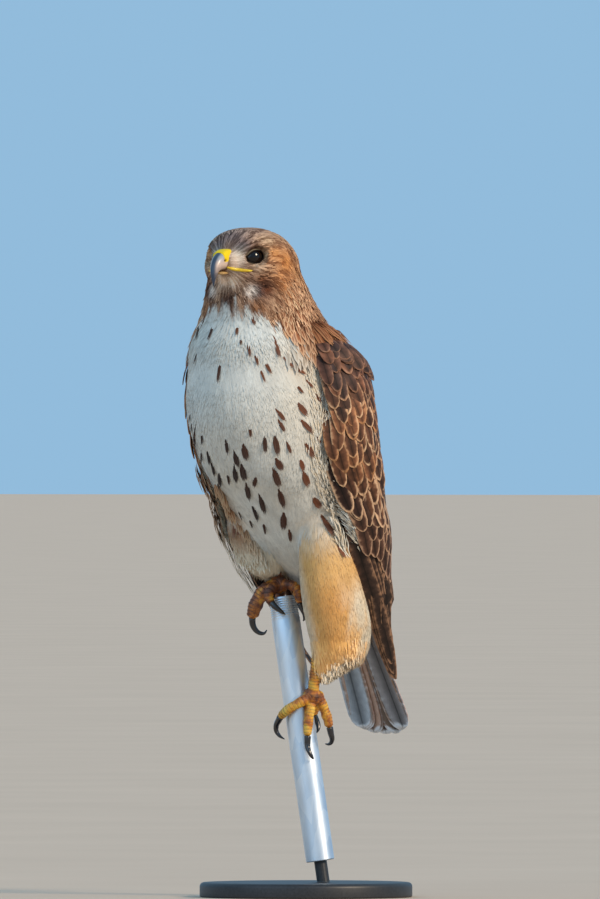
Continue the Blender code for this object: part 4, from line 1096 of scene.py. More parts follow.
class Coat:
    """Collects tufts over one skin, and makes them pieces of mesh."""

    def __init__(self, tree, long):
        self.tree = tree
        self.long = long
        self.faces = LONG_FACES if long else SHORT_FACES
        self.spots = LONG_SPOTS if long else SHORT_SPOTS
        self.under = LONG_UNDER if long else SHORT_UNDER
        self.rows = []

    def settle(self, points, lift, give):
        """Points brought to a height over the skin, moved by no more than give."""
        done = np.empty_like(points)
        normals = np.empty_like(points)
        for i, point in enumerate(points):
            near, normal, index, gap = self.tree.find_nearest(Vector(point))
            normals[i] = normal
            goal = np.array(near) + normals[i] * lift[i]
            step = goal - point
            size = math.sqrt(step @ step)
            done[i] = point + step * min(1.0, give / max(size, 1e-9))
        return done, normals

    def add(self, roots, normals, ways, length, width, lift, shaded_root_tint, heart, rim, lean, give=0.004):
        """Tufts rooted at these points, lying the way given. Lean turns their sides' shading outward."""
        if not len(roots):
            return
        width, lift, lean = (np.broadcast_to(value, length.shape) for value in (width, lift, lean))
        lean = lean[:, None]
        flow = unit(ways)
        start = roots - normals * 0.0006
        bend = (LONG_BENDS if self.long else SHORT_BENDS)[0]
        first = roots + flow * (bend * length)[:, None]
        first, n1 = self.settle(first, lift * (0.55 if self.long else 0.75), give)
        if give == 0:
            n1 = normals
        flow2 = unit(first - roots)
        flow2 = unit(flow2 - n1 * np.sum(flow2 * n1, axis=1, keepdims=True))
        side1 = unit(np.cross(flow2, n1))
        half = (width / 2)[:, None]
        # the root colour, mostly darker than the heart, is painted shade under the overlapping tufts; the
        # middle blends from it
        mid_rim = mix(shaded_root_tint, rim, 0.75)
        mid_heart = mix(shaded_root_tint, heart, 0.85)
        three = [first - side1 * half, first + n1 * half * 2 * CREST, first + side1 * half]
        turned_out = [unit(n1 - side1 * lean), n1, unit(n1 + side1 * lean)]
        if self.long:
            second = first + flow2 * (LONG_BENDS[1] * length)[:, None]
            second, n2 = self.settle(second, lift * 0.9, give)
            if give == 0:
                n2 = normals
            flow3 = unit(unit(second - first) * 0.7 + flow2 * 0.3)
            tip = second + flow3 * (LONG_BENDS[2] * length)[:, None] + n2 * (lift * 0.1)[:, None]
            side2 = unit(np.cross(flow3, n2))
            sides = side2 * half * 0.8
            three += [second - sides, second + n2 * half * 1.5 * CREST, second + sides]
            turned_out += [unit(n2 - side2 * lean), n2, unit(n2 + side2 * lean)]
            tones = [shaded_root_tint, mid_rim, mid_heart, mid_rim, rim, heart, rim, rim]
        else:
            tip = first + flow2 * (SHORT_BENDS[1] * length)[:, None]
            tip, n2 = self.settle(tip, lift, give)
            if give == 0:
                n2 = normals
            tones = [shaded_root_tint, mid_rim, heart, mid_rim, rim]
        points = np.stack([start, *three, tip], axis=1)
        facing = np.stack([n1, *turned_out, n2], axis=1)
        self.rows.append((points, facing, np.stack(tones, axis=1), roots))

    def pieces(self, name, finish):
        points, facing, tones, roots = (np.concatenate(part) for part in zip(*self.rows))
        order = np.argsort(-roots[:, 2], kind="stable")
        each = PIECE_TRIANGLES // len(self.faces)
        corners = points.shape[1]
        for number, start in enumerate(range(0, len(order), each)):
            pick = order[start:start + each]
            base = corners * np.arange(len(pick))[:, None, None]
            triangles = (self.faces[None] + base).reshape(-1, 3)
            mesh = raw_mesh(f"{name}_{number + 1}", points[pick].reshape(-1, 3), triangles)
            tint(mesh, "tint", tones[pick].reshape(-1, 3))
            lay_map(mesh, roots[pick], triangles, self.spots)
            place_mesh(mesh.name, mesh, finish)
            turned = facing[pick][:, self.faces]
            turned[:, self.under] *= -1
            mesh.normals_split_custom_set(turned.reshape(-1, 3).tolist())


# How wide a tuft's patch is on the map
PATCH = 0.003


def unrolled(roots):
    """Places on the body's skin laid flat: round it, and down it, with each thigh laid beside."""
    on_limb = limb(roots)
    x, y, z = roots.T
    u = round_body(roots) / (2 * math.pi) + 0.5
    for sign in (1, -1):
        table = FINE_THIGHS[sign]
        around = np.arctan2(x - column(table, z, 1), -(y - column(table, z, 2))) / (2 * math.pi) + 0.5
        u = np.where(on_limb == sign, 1.1 + (0.5 if sign < 0 else 0) + 0.4 * around, u)
    return np.stack((u, z), axis=1)


def lay_map(mesh, roots, triangles, spots):
    """The map OFBake: each tuft a small patch at its root's place on the unrolled skin."""
    flat = unrolled(roots)
    low = flat.min(axis=0)
    span = np.maximum(flat.max(axis=0) - low, 1e-6)
    flat = 0.01 + 0.98 * (flat - low) / span
    corners = flat[:, None, :] + spots[None] * (PATCH / 2)
    layer = mesh.uv_layers.new(name="OFBake")
    layer.data.foreach_set("uv", corners.reshape(-1, 2)[triangles.ravel()].ravel())


def scatter(part, weight):
    """Random points of the skin for a part of the coat, more where the weight is more, with normals."""
    count = int(TUFTS[part] * SHARE)
    corners = []
    facing = []
    for face in skin.faces:
        v = [vert.co for vert in face.verts]
        n = [vert.normal for vert in face.verts]
        for k in range(1, len(v) - 1):
            corners.append((v[0][:], v[k][:], v[k + 1][:]))
            facing.append((n[0][:], n[k][:], n[k + 1][:]))
    corners = np.array(corners)
    facing = np.array(facing)
    size = np.linalg.norm(np.cross(corners[:, 1] - corners[:, 0], corners[:, 2] - corners[:, 0]), axis=1)
    share = size * weight(corners.mean(axis=1), unit(facing.mean(axis=1)))
    total = np.cumsum(share)
    # evenly stepped draws along the running total keep the spread even
    draws = (np.arange(count) + CHANCE.random(count)) / count * total[-1]
    pick = np.searchsorted(total, draws)
    a = np.sqrt(CHANCE.random(count))
    b = CHANCE.random(count)
    weights = np.stack((1 - a, a * (1 - b), a * b), axis=1)
    points = np.einsum("nk,nkd->nd", weights, corners[pick])
    normals = unit(np.einsum("nk,nkd->nd", weights, facing[pick]))
    return points, normals


def under_wing(points, normals):
    """1 where the folded wing hides the skin, with its front edge left free."""
    x, y, z = points.T
    front = column(FINE_WING, z, 2)
    rear = column(FINE_WING, z, 6)
    tucked = np.where(x < 0, 0.013 * smooth(z, 0.450, 0.490), 0)
    inside = (z < 0.597) & (z > 0.30) & (y > front + 0.014 + tucked) & (y < rear)
    outer = wing_face(np.clip(z, 0.272, 0.603), np.clip((y - front) / np.maximum(rear - front, 0.01), 0, 1))
    hidden = inside & (np.abs(x) < outer[:, 0] + 0.002) & (np.abs(normals[:, 0]) > 0.15)
    away = np.minimum(torso_reach(points), np.minimum(thigh_reach(points, 1), thigh_reach(points, -1)))
    return hidden | ((away > 1.10) & (z > 0.374) & (z < 0.600) & (np.abs(x) > 0.024))


# The skin, and the coat that grows on it

skin = build_skin()
skin.normal_update()
skin_tree = BVHTree.FromBMesh(skin)
long_coat = Coat(skin_tree, True)
short_coat = Coat(skin_tree, False)
plumage = Plumage(skin_tree)


def eye_gap(points):
    gaps = []
    for sign in (1, -1):
        face, look, across, upward = eye_frame(sign)
        local = points - face
        u = local @ across / (EYE_OPEN[0] + 0.0006)
        v = local @ upward
        v = v / np.where(v > 0, EYE_OPEN[1] + 0.0004, EYE_OPEN[2] + 0.0006)
        gaps.append(np.sqrt(u * u + v * v) + 3 * (local @ look < -0.012))
    return np.minimum(*gaps)


def bare(points):
    """Where the eyes and the bill leave no room for feathers."""
    x, y, z = points.T
    bill = (np.abs(x) < 0.0080) & (y < -0.1445) & (z > 0.652) & (z < 0.6790)
    return (eye_gap(points) < 1.0) | bill


def head_weight(points, normals):
    z = points[:, 2]
    reach = bill_gap(points)
    return smooth(z, 0.612, 0.634) * (1 + 1.6 * (1 - smooth(reach, 0.02, 0.05)))


def body_weight(points, normals):
    y, z = points[:, 1], points[:, 2]
    weight = 1 - smooth(z, 0.618, 0.640)
    weight = np.where(under_wing(points, normals), 0.0, weight)
    middle = column(FINE_TORSO, z, 1)
    behind = (y > middle + 0.012) & (z < 0.59) & (z > 0.40)
    return np.where(behind, 0.35 * weight, weight)


def grain_along(points):
    """Streaks that run with the coat: noise drawn out along it."""
    from_bill = points - BILL_ROOT
    reach = bill_gap(points)
    round_bill = np.arctan2(from_bill[:, 0], from_bill[:, 2] + 1e-9)
    on_face = np.stack((round_bill * 0.034, reach * 0.16, np.zeros_like(reach)), axis=1)
    on_body = np.stack((round_body(points) * 0.055, points[:, 2] * 0.14, np.zeros_like(reach) + 1.0), axis=1)
    face = 1 - smooth(reach, 0.045, 0.075)
    return between(cloud(on_body, 0.0021), cloud(on_face, 0.0017), face)


def tuft_tones(points, on_limb):
    """Root, middle and edge colours of each tuft; the darker roots are painted shade under the overlapping
    tufts.
    """
    count = len(points)
    heart, rim = plumage.colours(points, on_limb)
    hood = plumage.hood(points)
    streak = np.clip(smooth(grain_along(points), 0.34, 0.66) + CHANCE.normal(0, 0.16, count), 0, 1)
    light = smooth(heart.mean(axis=1), 0.22, 0.50)
    dark = heart * between(0.58, 0.92, light)[:, None]
    pale = mix(heart, rim, 0.95)
    depth = between(0.80, 1.0, light) + CHANCE.normal(0, 0.08, count)
    brown_heart = mix(dark, pale, streak**1.5) * depth.clip(0.5, 1.1)[:, None]
    brown_rim = mix(brown_heart, rim, 0.35)
    white_heart = heart * (0.93 + 0.12 * streak)[:, None]
    tone = CHANCE.normal(1.0, 0.03, count)[:, None]
    heart2 = mix(white_heart * tone, brown_heart, hood)
    rim2 = mix(mix(white_heart, rim, 0.5) * tone, brown_rim, hood)
    # painted shade at the roots, deepest in the brown hood away from the eyes
    root = mix(heart2 * 0.97, heart2 * 0.50, hood * smooth(eye_gap(points), 1.3, 2.2))
    return root, heart2, rim2, hood


def comb(points, normals, on_limb, stray):
    """The way each tuft lies, with a little swirl."""
    ways = lie(points, normals, on_limb)
    side = np.cross(ways, normals)
    swirl = (cloud(points + 7.0, 0.016) - 0.5) * 0.5 + CHANCE.normal(0, stray, len(points))
    return unit(ways + side * swirl[:, None])


def cover_head():
    points, normals = scatter("head", head_weight)
    keep = ~bare(points)
    points, normals = points[keep], normals[keep]
    count = len(points)
    none = np.zeros(count, int)
    ways = comb(points, normals, none, 0.10)
    reach = bill_gap(points)
    size = smooth(reach, 0.012, 0.060)
    length = between(0.0040, 0.0105, size) + 0.0045 * smooth(reach, 0.06, 0.10)
    width = between(0.0008, 0.0016, size) + 0.0004 * smooth(reach, 0.06, 0.10)
    lift = between(0.0007, 0.0022, size) * CHANCE.uniform(0.3, 1.25, count)
    length = length * CHANCE.uniform(0.75, 1.2, count)
    width = width * CHANCE.uniform(0.75, 1.3, count)
    root, heart, rim, hood = tuft_tones(points + ways * (0.5 * length)[:, None], none)
    short_coat.add(points, normals, ways, length, width, lift, root, heart, rim, 0.15 + 0.35 * hood)


def cover_body():
    points, normals = scatter("body", body_weight)
    on_limb = limb(points)
    count = len(points)
    z = points[:, 2]
    leg = on_limb != 0
    ways = comb(points, normals, on_limb, 0.07)
    neck = smooth(z, 0.59, 0.63)
    length = between(0.0250, 0.0165, neck)
    width = between(0.0023, 0.0021, neck)
    lift = between(0.0010, 0.0022, neck)
    length = np.where(leg, 0.0200, length)
    width = np.where(leg, 0.0019, width)
    hem = leg & (z < np.where(on_limb > 0, 0.318, 0.400))
    lift = np.where(hem, 0.0034, lift)
    length = length * CHANCE.uniform(0.75, 1.2, count)
    width = width * CHANCE.uniform(0.7, 1.3, count)
    lift = lift * CHANCE.uniform(0.25, 1.0, count)
    root, heart, rim, hood = tuft_tones(points + ways * (0.4 * length)[:, None], on_limb)
    long_coat.add(points, normals, ways, length, width, lift, root, heart, rim, 0.16 + 0.30 * hood)


def add_spot(place, way, normal, length, width, colour):
    """A dark teardrop: narrow tufts side by side, that start at a point and end together."""
    side = unit(np.cross(way, normal))
    strips = max(2, round(width / 0.0009))
    across = (np.arange(strips) - (strips - 1) / 2) / (strips / 2)
    begin = -0.28 + 0.60 * np.abs(across)
    end = 1.06 - 0.22 * across**2 + CHANCE.normal(0, 0.03, strips)
    roots = place + np.outer(begin * length, way) + np.outer(across * width * 0.36, side)
    ways = way + np.outer(across * 0.16 * width / max(length, 1e-4), side)
    tone = CHANCE.normal(1.0, 0.12, (strips, 1)).clip(0.7, 1.3)
    colours = colour * tone
    long_coat.add(
        roots, np.tile(normal, (strips, 1)), ways, (end - begin) * length * 1.05, width / strips * 2.3,
        CHANCE.uniform(0.0026, 0.0031, strips), colours, colours, mix(colours, WHITE, 0.10), 0.2,
    )


def spot_breast():
    for px0, py0, px1, py1, wide, warm in STREAKS:
        top, normal = photo_hit(skin_tree, px0, py0)
        low = photo_hit(skin_tree, px1, py1)[0]
        if top is None or low is None:
            top, normal = photo_hit(skin_tree, px0 + STREAK_STEP, py0)
            low = photo_hit(skin_tree, px1 + STREAK_STEP, py1)[0]
            if top is None or low is None:
                continue
        colour = mix(UMBER, RUFOUS, warm)
        for turn in (1, -1):
            mirrored = np.array((turn, 1, 1))
            facing = normal * mirrored
            if turn < 0 and facing @ NEAR > 0.10:
                continue
            way = unit(low - top) * mirrored
            if turn < 0:
                way = lie((top * mirrored)[None], facing[None], np.zeros(1, int))[0]
            add_spot(top * mirrored, way, facing, np.linalg.norm(low - top), wide * PIXEL, colour)


def fringe_wings():
    """White breast feathers that lie over the front edge of each wing."""
    for sign in (1, -1):
        count = int(TUFTS["wing fringe"] * SHARE) + 20
        height = CHANCE.uniform(0.404, 0.588, count)
        centre, back, down, out = wing_axes(height, CHANCE.uniform(0.0, 0.05, count))
        mirror = np.array((sign, 1, 1))
        ahead = CHANCE.uniform(-0.002, 0.014, count)[:, None]
        roots = centre - back * ahead - out * CHANCE.uniform(0.002, 0.006, count)[:, None]
        ways = down + back * CHANCE.uniform(0.04, 0.34, count)[:, None]
        ways = ways + out * CHANCE.uniform(0.02, 0.14, count)[:, None]
        heart = mix(WHITE, CREAM, CHANCE.uniform(0.1, 0.9, count))
        long_coat.add(
            roots * mirror, out * mirror, ways * mirror, CHANCE.uniform(0.008, 0.018, count),
            CHANCE.uniform(0.0009, 0.0018, count), CHANCE.uniform(0.0012, 0.0030, count),
            heart * 0.97, heart, heart, 0.1, give=0.003,
        )


# Heights between which each thigh's loose down starts
HEMS = {1: (0.282, 0.318), -1: (0.378, 0.405)}


def fluff(sign, count):
    """Loose pale down behind and under a thigh."""
    low, high = HEMS[sign]
    table = FINE_THIGHS[sign]
    count = int(count * SHARE) + 10
    z = low + (high - low) * CHANCE.random(count) ** 1.8
    angle = CHANCE.normal(1.15, 0.75, count) * sign
    x = column(table, z, 1) + column(table, z, 3) * 0.85 * np.cos(angle) * sign
    y = column(table, z, 2) + column(table, z, 4) * 0.85 * np.sin(angle) * sign
    roots = np.stack((x, y, z), axis=1)
    out = unit(np.stack((np.cos(angle) * sign, np.sin(angle) * sign, np.zeros(count)), axis=1))
    spread = CHANCE.uniform(-0.25, 0.20, count)[:, None]
    ways = np.array((0, 0.10, -1.0)) + out * spread + CHANCE.normal(0, 0.06, (count, 3))
    fair = smooth(z + CHANCE.normal(0, 0.005, count), 0.318, 0.288)
    coat = plumage.colours(roots, np.full(count, sign))[0]
    tone = mix(coat, mix(HEM, WHITE, 0.6 * CHANCE.random(count)), fair * (0.35 + 0.65 * CHANCE.random(count)))
    tone = tone * CHANCE.uniform(0.94, 1.04, count)[:, None]
    long_coat.add(
        roots, out, ways, CHANCE.uniform(0.005, 0.012, count), 0.0015, 0.001,
        tone, tone, tone, 0.0, give=0,
    )


def far_flank():
    """Brown feathers with pale edges along the front of the far wing, and loose pale ones below."""
    count = int(TUFTS["far wing"] * SHARE) + 10
    height = np.sort(CHANCE.uniform(0.366, 0.480, count))
    centre, back, down, out = wing_axes(height, CHANCE.uniform(0.0, 0.16, count))
    mirror = np.array((-1, 1, 1))
    low = 1 - smooth(height + CHANCE.normal(0, 0.006, count), 0.402, 0.428)
    roots = centre + out * CHANCE.uniform(-0.006, 0.0015, count)[:, None]
    ways = down + back * CHANCE.uniform(-0.16, 0.30, count)[:, None]
    ways = ways + out * CHANCE.uniform(0.0, 0.12, count)[:, None]
    heart = mix(shade(112, 72, 48) * CHANCE.uniform(0.6, 1.5, count)[:, None], shade(204, 188, 160), low)
    rim = mix(shade(204, 164, 124), HEM, 0.3 + 0.7 * low)
    long_coat.add(
        roots * mirror, out * mirror, ways * mirror, CHANCE.uniform(0.016, 0.026, count),
        between(0.0056, 0.0020, low) * CHANCE.uniform(0.8, 1.2, count), 0.001,
        heart * 0.8, heart, rim, 0.3, give=0,
    )


def flank_feathers():
    """Brown feathers with pale edges that fill the far flank, from its outline to the belly's edge."""
    roots, places = [], []
    for share in np.linspace(1, 0, int(TUFTS["flank"] * SHARE) + 10):
        if CHANCE.random() > 4 * share + 0.1:
            continue
        py = FLANK_TOP + (FLANK_LOW - FLANK_TOP) * share
        for px in range(*OUTLINE_SEARCH):
            place = photo_hit(skin_tree, px, py)[0]
            if place is not None:
                break
        edge = max(px + FLANK_LEAST, FLANK_EDGE[0] + (FLANK_EDGE[1] - FLANK_EDGE[0]) * share)
        inner = photo_hit(skin_tree, edge, py)[0]
        if place is not None and inner is not None:
            roots.append(place + (inner - place) * CHANCE.random() + NEAR * 0.001)
            places.append(share)
    roots = np.array(roots)
    low = smooth(np.array(places), 0.55, 1.0)
    count = len(roots)
    facing = unit(NEAR * 0.85 - RIGHT * 0.5) * np.ones((count, 1))
    ways = RIGHT * 0.36 - (0, 0, 1) + facing * 0.10 + CHANCE.normal(0, 0.07, (count, 3))
    heart = mix(shade(112, 74, 50) * CHANCE.uniform(0.55, 1.7, count)[:, None], shade(196, 172, 140), low)
    rim = mix(mix(heart, shade(214, 176, 136), 0.75), HEM, low)
    long_coat.add(
        roots, facing, ways, CHANCE.uniform(0.012, 0.020, count), CHANCE.uniform(0.0022, 0.0040, count),
        0.001, heart * 0.8, heart, rim, 0.3, give=0,
    )


def mantle_feathers():
    """Broad pointed feathers with pale edges, on the neck's side, the nape and the upper back."""
    def weight(points, normals):
        z = points[:, 2]
        behind = np.abs(round_body(points))
        neck = smooth(z, 0.578, 0.600) * (1 - smooth(z, 0.650, 0.668)) * smooth(behind, 0.75, 1.0)
        back = smooth(behind, 1.7, 1.95) * smooth(z, 0.42, 0.45) * (1 - smooth(z, 0.58, 0.60))
        return np.maximum(neck, back)
    points, normals = scatter("mantle", weight)
    count = len(points)
    z = points[:, 2]
    none = np.zeros(count, int)
    ways = comb(points, normals, none, 0.06)
    heart, rim = plumage.colours(points, none)
    high = smooth(z, 0.60, 0.66)
    tone = CHANCE.normal(1, 0.16, count).clip(0.6, 1.4)[:, None]
    heart = heart * 0.62 * tone
    rim = mix(heart, rim, 0.9)
    length = between(0.0240, 0.0120, high) * CHANCE.uniform(0.8, 1.2, count)
    width = between(0.0058, 0.0026, high) * CHANCE.uniform(0.8, 1.2, count)
    lift = between(0.0034, 0.0028, high) * CHANCE.uniform(0.6, 1.1, count)
    long_coat.add(points, normals, ways, length, width, lift, heart * 0.6, heart, rim, 0.35)


def head_strokes():
    """Dark and pale strokes over the finer coat of the head and neck."""
    def weight(points, normals):
        reach = bill_gap(points)
        return smooth(points[:, 2], 0.606, 0.622) * smooth(reach, 0.020, 0.045)
    points, normals = scatter("strokes", weight)
    keep = (eye_gap(points) > 1.25) & (plumage.hood(points) > 0.5)
    points, normals = points[keep], normals[keep]
    count = len(points)
    none = np.zeros(count, int)
    ways = comb(points, normals, none, 0.08)
    heart, rim = plumage.colours(points + ways * 0.005, none)
    pale = (CHANCE.random(count) < 0.5 + 0.5 * (grain_along(points) - 0.5)).astype(float)
    tone = mix(heart * 0.34, np.clip(rim * 1.18, 0, 0.92), pale)
    reach = bill_gap(points)
    size = smooth(reach, 0.03, 0.10)
    length = between(0.0060, 0.0150, size) * CHANCE.uniform(0.7, 1.3, count)
    width = between(0.0008, 0.0017, size) * CHANCE.uniform(0.7, 1.2, count)
    lift = between(0.0018, 0.0030, size)
    short_coat.add(points, normals, ways, length, width, lift, tone * 0.8, tone, tone, 0.3)


def shoulder_cape():
    """Long brown feathers of the neck and shoulder, that run over the top of each wing."""
    for sign in (1, -1):
        count = int(TUFTS["cape"] * SHARE) + 20
        mirror = np.array((sign, 1, 1))
        t = CHANCE.uniform(-0.02, 1.0, count)
        top = wing_axes(np.full(count, 0.6029), t)[0]
        inward = unit(np.stack((-top[:, 0], np.zeros(count), np.zeros(count)), axis=1))
        roots = top + inward * CHANCE.uniform(0.004, 0.016, count)[:, None]
        uneven = CHANCE.uniform(-0.004, 0.003, count)
        roots[:, 2] += uneven + 0.012 * CHANCE.random(count) * (1 - smooth(t, 0.2, 0.7))
        reach = CHANCE.uniform(0.572, 0.596, count)
        goal, back, down, out = wing_axes(reach, np.clip(t + 0.16, 0, 1))
        goal = goal + out * CHANCE.uniform(0.0045, 0.0075, count)[:, None]
        step = goal - roots
        length = np.linalg.norm(step, axis=1)
        front = 1 - smooth(t, 0.30, 0.60)
        heart = mix(MANTLE * 0.6, shade(104, 58, 36), front)
        heart = heart * CHANCE.normal(1, 0.18, count).clip(0.6, 1.4)[:, None]
        rim = mix(MANTLE_RIM * 0.7, shade(196, 140, 98), front)
        long_coat.add(
            roots * mirror, out * mirror, step * mirror, length * 1.08,
            CHANCE.uniform(0.0034, 0.0060, count), 0.001, heart * 0.7, heart, mix(heart, rim, 0.8), 0.35,
            give=0,
        )


shoulder_cape()
mantle_feathers()
head_strokes()
cover_head()
cover_body()
spot_breast()
fringe_wings()
fluff(1, TUFTS["left hem"])
fluff(-1, TUFTS["right hem"])
far_flank()
flank_feathers()
feather_finish = coat_material("contour_feathers")
long_coat.pieces("body_coat", feather_finish)
short_coat.pieces("head_coat", feather_finish)


# Long feathers

ACROSS = np.array((-1.0, -0.88, -0.62, -0.3, 0.0, 0.3, 0.62, 0.88, 1.0))
SHAFT_RISE = 0.10

# On the map OFBake each feather has a square cell: its upper face fills this share of the cell's
# left half, inside a margin, and its under face the same of the right half
MAP_SHARE = np.array((0.40, 0.86))
MAP_MARGIN = 0.04


class Vanes:
    """Collects long feathers, each a closed blade, and makes them one piece."""

    def __init__(self):
        self.blades = []

    def add(self, steps, centres, sides, outs, halves, thick, heart, rim, edged=1.0, banded=0.86, upper=None):
        """One feather through its stations. Edged tells how much of the rim's colour its sides have,
        banded where along it the pale tip starts, and upper the colour of its other face."""
        count = len(centres)
        rise = SHAFT_RISE * (1 - ACROSS**2)
        top = []
        low = []
        for i in range(count):
            line = centres[i] + np.outer(ACROSS * halves[i], sides[i])
            bend = (rise * halves[i])[:, None]
            top.append(line + outs[i] * (bend + thick / 2))
            low.append(line + outs[i] * (bend - thick / 2))
        over = heart if upper is None else upper
        self.blades.append(
            (np.array(top), np.array(low), steps, ((*over, banded), (*heart, banded)), (*rim, edged))
        )

    def piece(self, name, finish):
        points = []
        triangles = []
        hearts = []
        rims = []
        vane_uv = []
        bake_uv = []
        wide = len(ACROSS)
        cells = math.ceil(math.sqrt(len(self.blades)))
        offset = 0
        for number, (top, low, steps, heart, rim) in enumerate(self.blades):
            rows = len(top)
            grid = offset + np.arange(rows * wide).reshape(rows, wide)
            under = grid + rows * wide
            for a, turn in ((grid, False), (under, True)):
                quads = np.stack((a[:-1, :-1], a[:-1, 1:], a[1:, 1:], a[1:, :-1]), axis=-1).reshape(-1, 4)
                if turn:
                    quads = quads[:, ::-1]
                triangles.append(quads[:, (0, 1, 2)])
                triangles.append(quads[:, (0, 2, 3)])
            loop_top = np.concatenate((grid[0, :], grid[1:, -1], grid[-1, -2::-1], grid[-2:0:-1, 0]))
            loop_low = loop_top + rows * wide
            nxt_top = np.roll(loop_top, -1)
            nxt_low = np.roll(loop_low, -1)
            triangles.append(np.stack((nxt_top, loop_top, loop_low), axis=1))
            triangles.append(np.stack((nxt_top, loop_low, nxt_low), axis=1))
            points.append(top.reshape(-1, 3))
            points.append(low.reshape(-1, 3))
            u, v = np.meshgrid((ACROSS + 1) / 2, steps)
            flat = np.stack((u.ravel(), v.ravel()), axis=1)
            vane_uv += [flat, flat]
            corner = np.array((number % cells, number // cells)) / cells
            front = corner + (MAP_MARGIN + flat * MAP_SHARE) / cells
            bake_uv += [front, front + (0.5 / cells, 0)]
            hearts += [np.tile(face, (rows * wide, 1)) for face in heart]
            rims.append(np.tile(rim, (2 * rows * wide, 1)))
            offset += 2 * rows * wide
        triangles = np.concatenate(triangles)
        mesh = raw_mesh(name, np.concatenate(points), triangles)
        tint(mesh, "tint", np.concatenate(hearts))
        tint(mesh, "rim", np.concatenate(rims))
        for label, corners in (("OFBake", bake_uv), ("Vane", vane_uv)):
            layer = mesh.uv_layers.new(name=label)
            layer.data.foreach_set("uv", np.concatenate(corners)[triangles.ravel()].ravel())
        form = bmesh.new()
        form.from_mesh(mesh)
        bmesh.ops.recalc_face_normals(form, faces=form.faces)
        form.to_mesh(mesh)
        form.free()
        return place_mesh(name, mesh, finish)


# A feather's outline from root to tip: share of length, share of width
BLUNT = np.array((
    (0.0, 0.45), (0.12, 0.72), (0.3, 0.92), (0.55, 1.0), (0.74, 0.98), (0.87, 0.82), (0.95, 0.55),
    (1.0, 0.14),
))
LONG = np.array((
    (0.0, 0.5), (0.2, 0.9), (0.45, 1.0), (0.68, 1.0), (0.84, 0.86), (0.93, 0.62), (0.98, 0.34),
    (1.0, 0.08),
))

DARK = shade(54, 39, 32)
WING_DARK = shade(80, 54, 42)
CREAM_RIM = shade(206, 168, 134)

# Rows of the long wing feathers: count, place ahead, place behind, root ahead, root behind, tip ahead,
# tip behind, half width, lift at the tip, tilt, heart, rim
LONG_ROWS = (
    (9, 0.05, 0.46, 0.430, 0.420, 0.274, 0.336, 0.0085, -0.0046, 7, DARK, shade(156, 118, 90)),
    (13, 0.12, 0.97, 0.470, 0.470, 0.392, 0.332, 0.0078, -0.0036, 8, WING_DARK, shade(188, 150, 122)),
    (13, 0.10, 0.97, 0.470, 0.480, 0.410, 0.362, 0.0078, -0.0030, 8, WING_DARK, shade(196, 156, 124)),
    (12, 0.09, 0.96, 0.480, 0.490, 0.424, 0.388, 0.0080, -0.0024, 8, WING_DARK, CREAM_RIM),
)
PRIMARY_TIPS = (0.2735, 0.279, 0.288, 0.297, 0.306, 0.315, 0.324, 0.333, 0.342)
ROOT_SUNK = -0.0095
COVERT_ROWS = 14
COVERTS_ACROSS = 12
SCAPULARS = 24
CAPE_FEATHERS = 26


def covert_tones(height, across, draws):
    """A covert's middle and rim colours, and how much of a rim its sides have, by its place."""
    low = float(smooth(height, 0.470, 0.445))
    high = float(smooth(height, 0.528, 0.556))
    behind = float(smooth(across, 0.50, 0.66)) * float(smooth(height, 0.575, 0.55))
    brown = mix(shade(142, 92, 62), shade(70, 46, 36), draws.random())
    heart = mix(brown, mix(shade(58, 38, 32), shade(108, 70, 48), draws.random()), low)
    heart = mix(heart, mix(shade(50, 38, 38), shade(124, 80, 58), draws.random() ** 1.8), high)
    rim = mix(mix(shade(196, 138, 92), shade(232, 192, 152), draws.random()), CREAM_RIM, low)
    rim = mix(rim, mix(shade(124, 84, 64), shade(196, 150, 120), draws.random() ** 1.5), high)
    edged = 0.9 + 0.15 * low - 0.15 * high
    if behind > 0.3 and height > 0.43:
        gold = mix(shade(204, 146, 88), shade(222, 178, 128), draws.random())
        rim = mix(rim, gold, behind)
        edged += 0.2 * behind
        heart = mix(heart, mix(shade(52, 36, 30), shade(128, 84, 54), draws.random() ** 2), behind)
    return heart, rim, edged


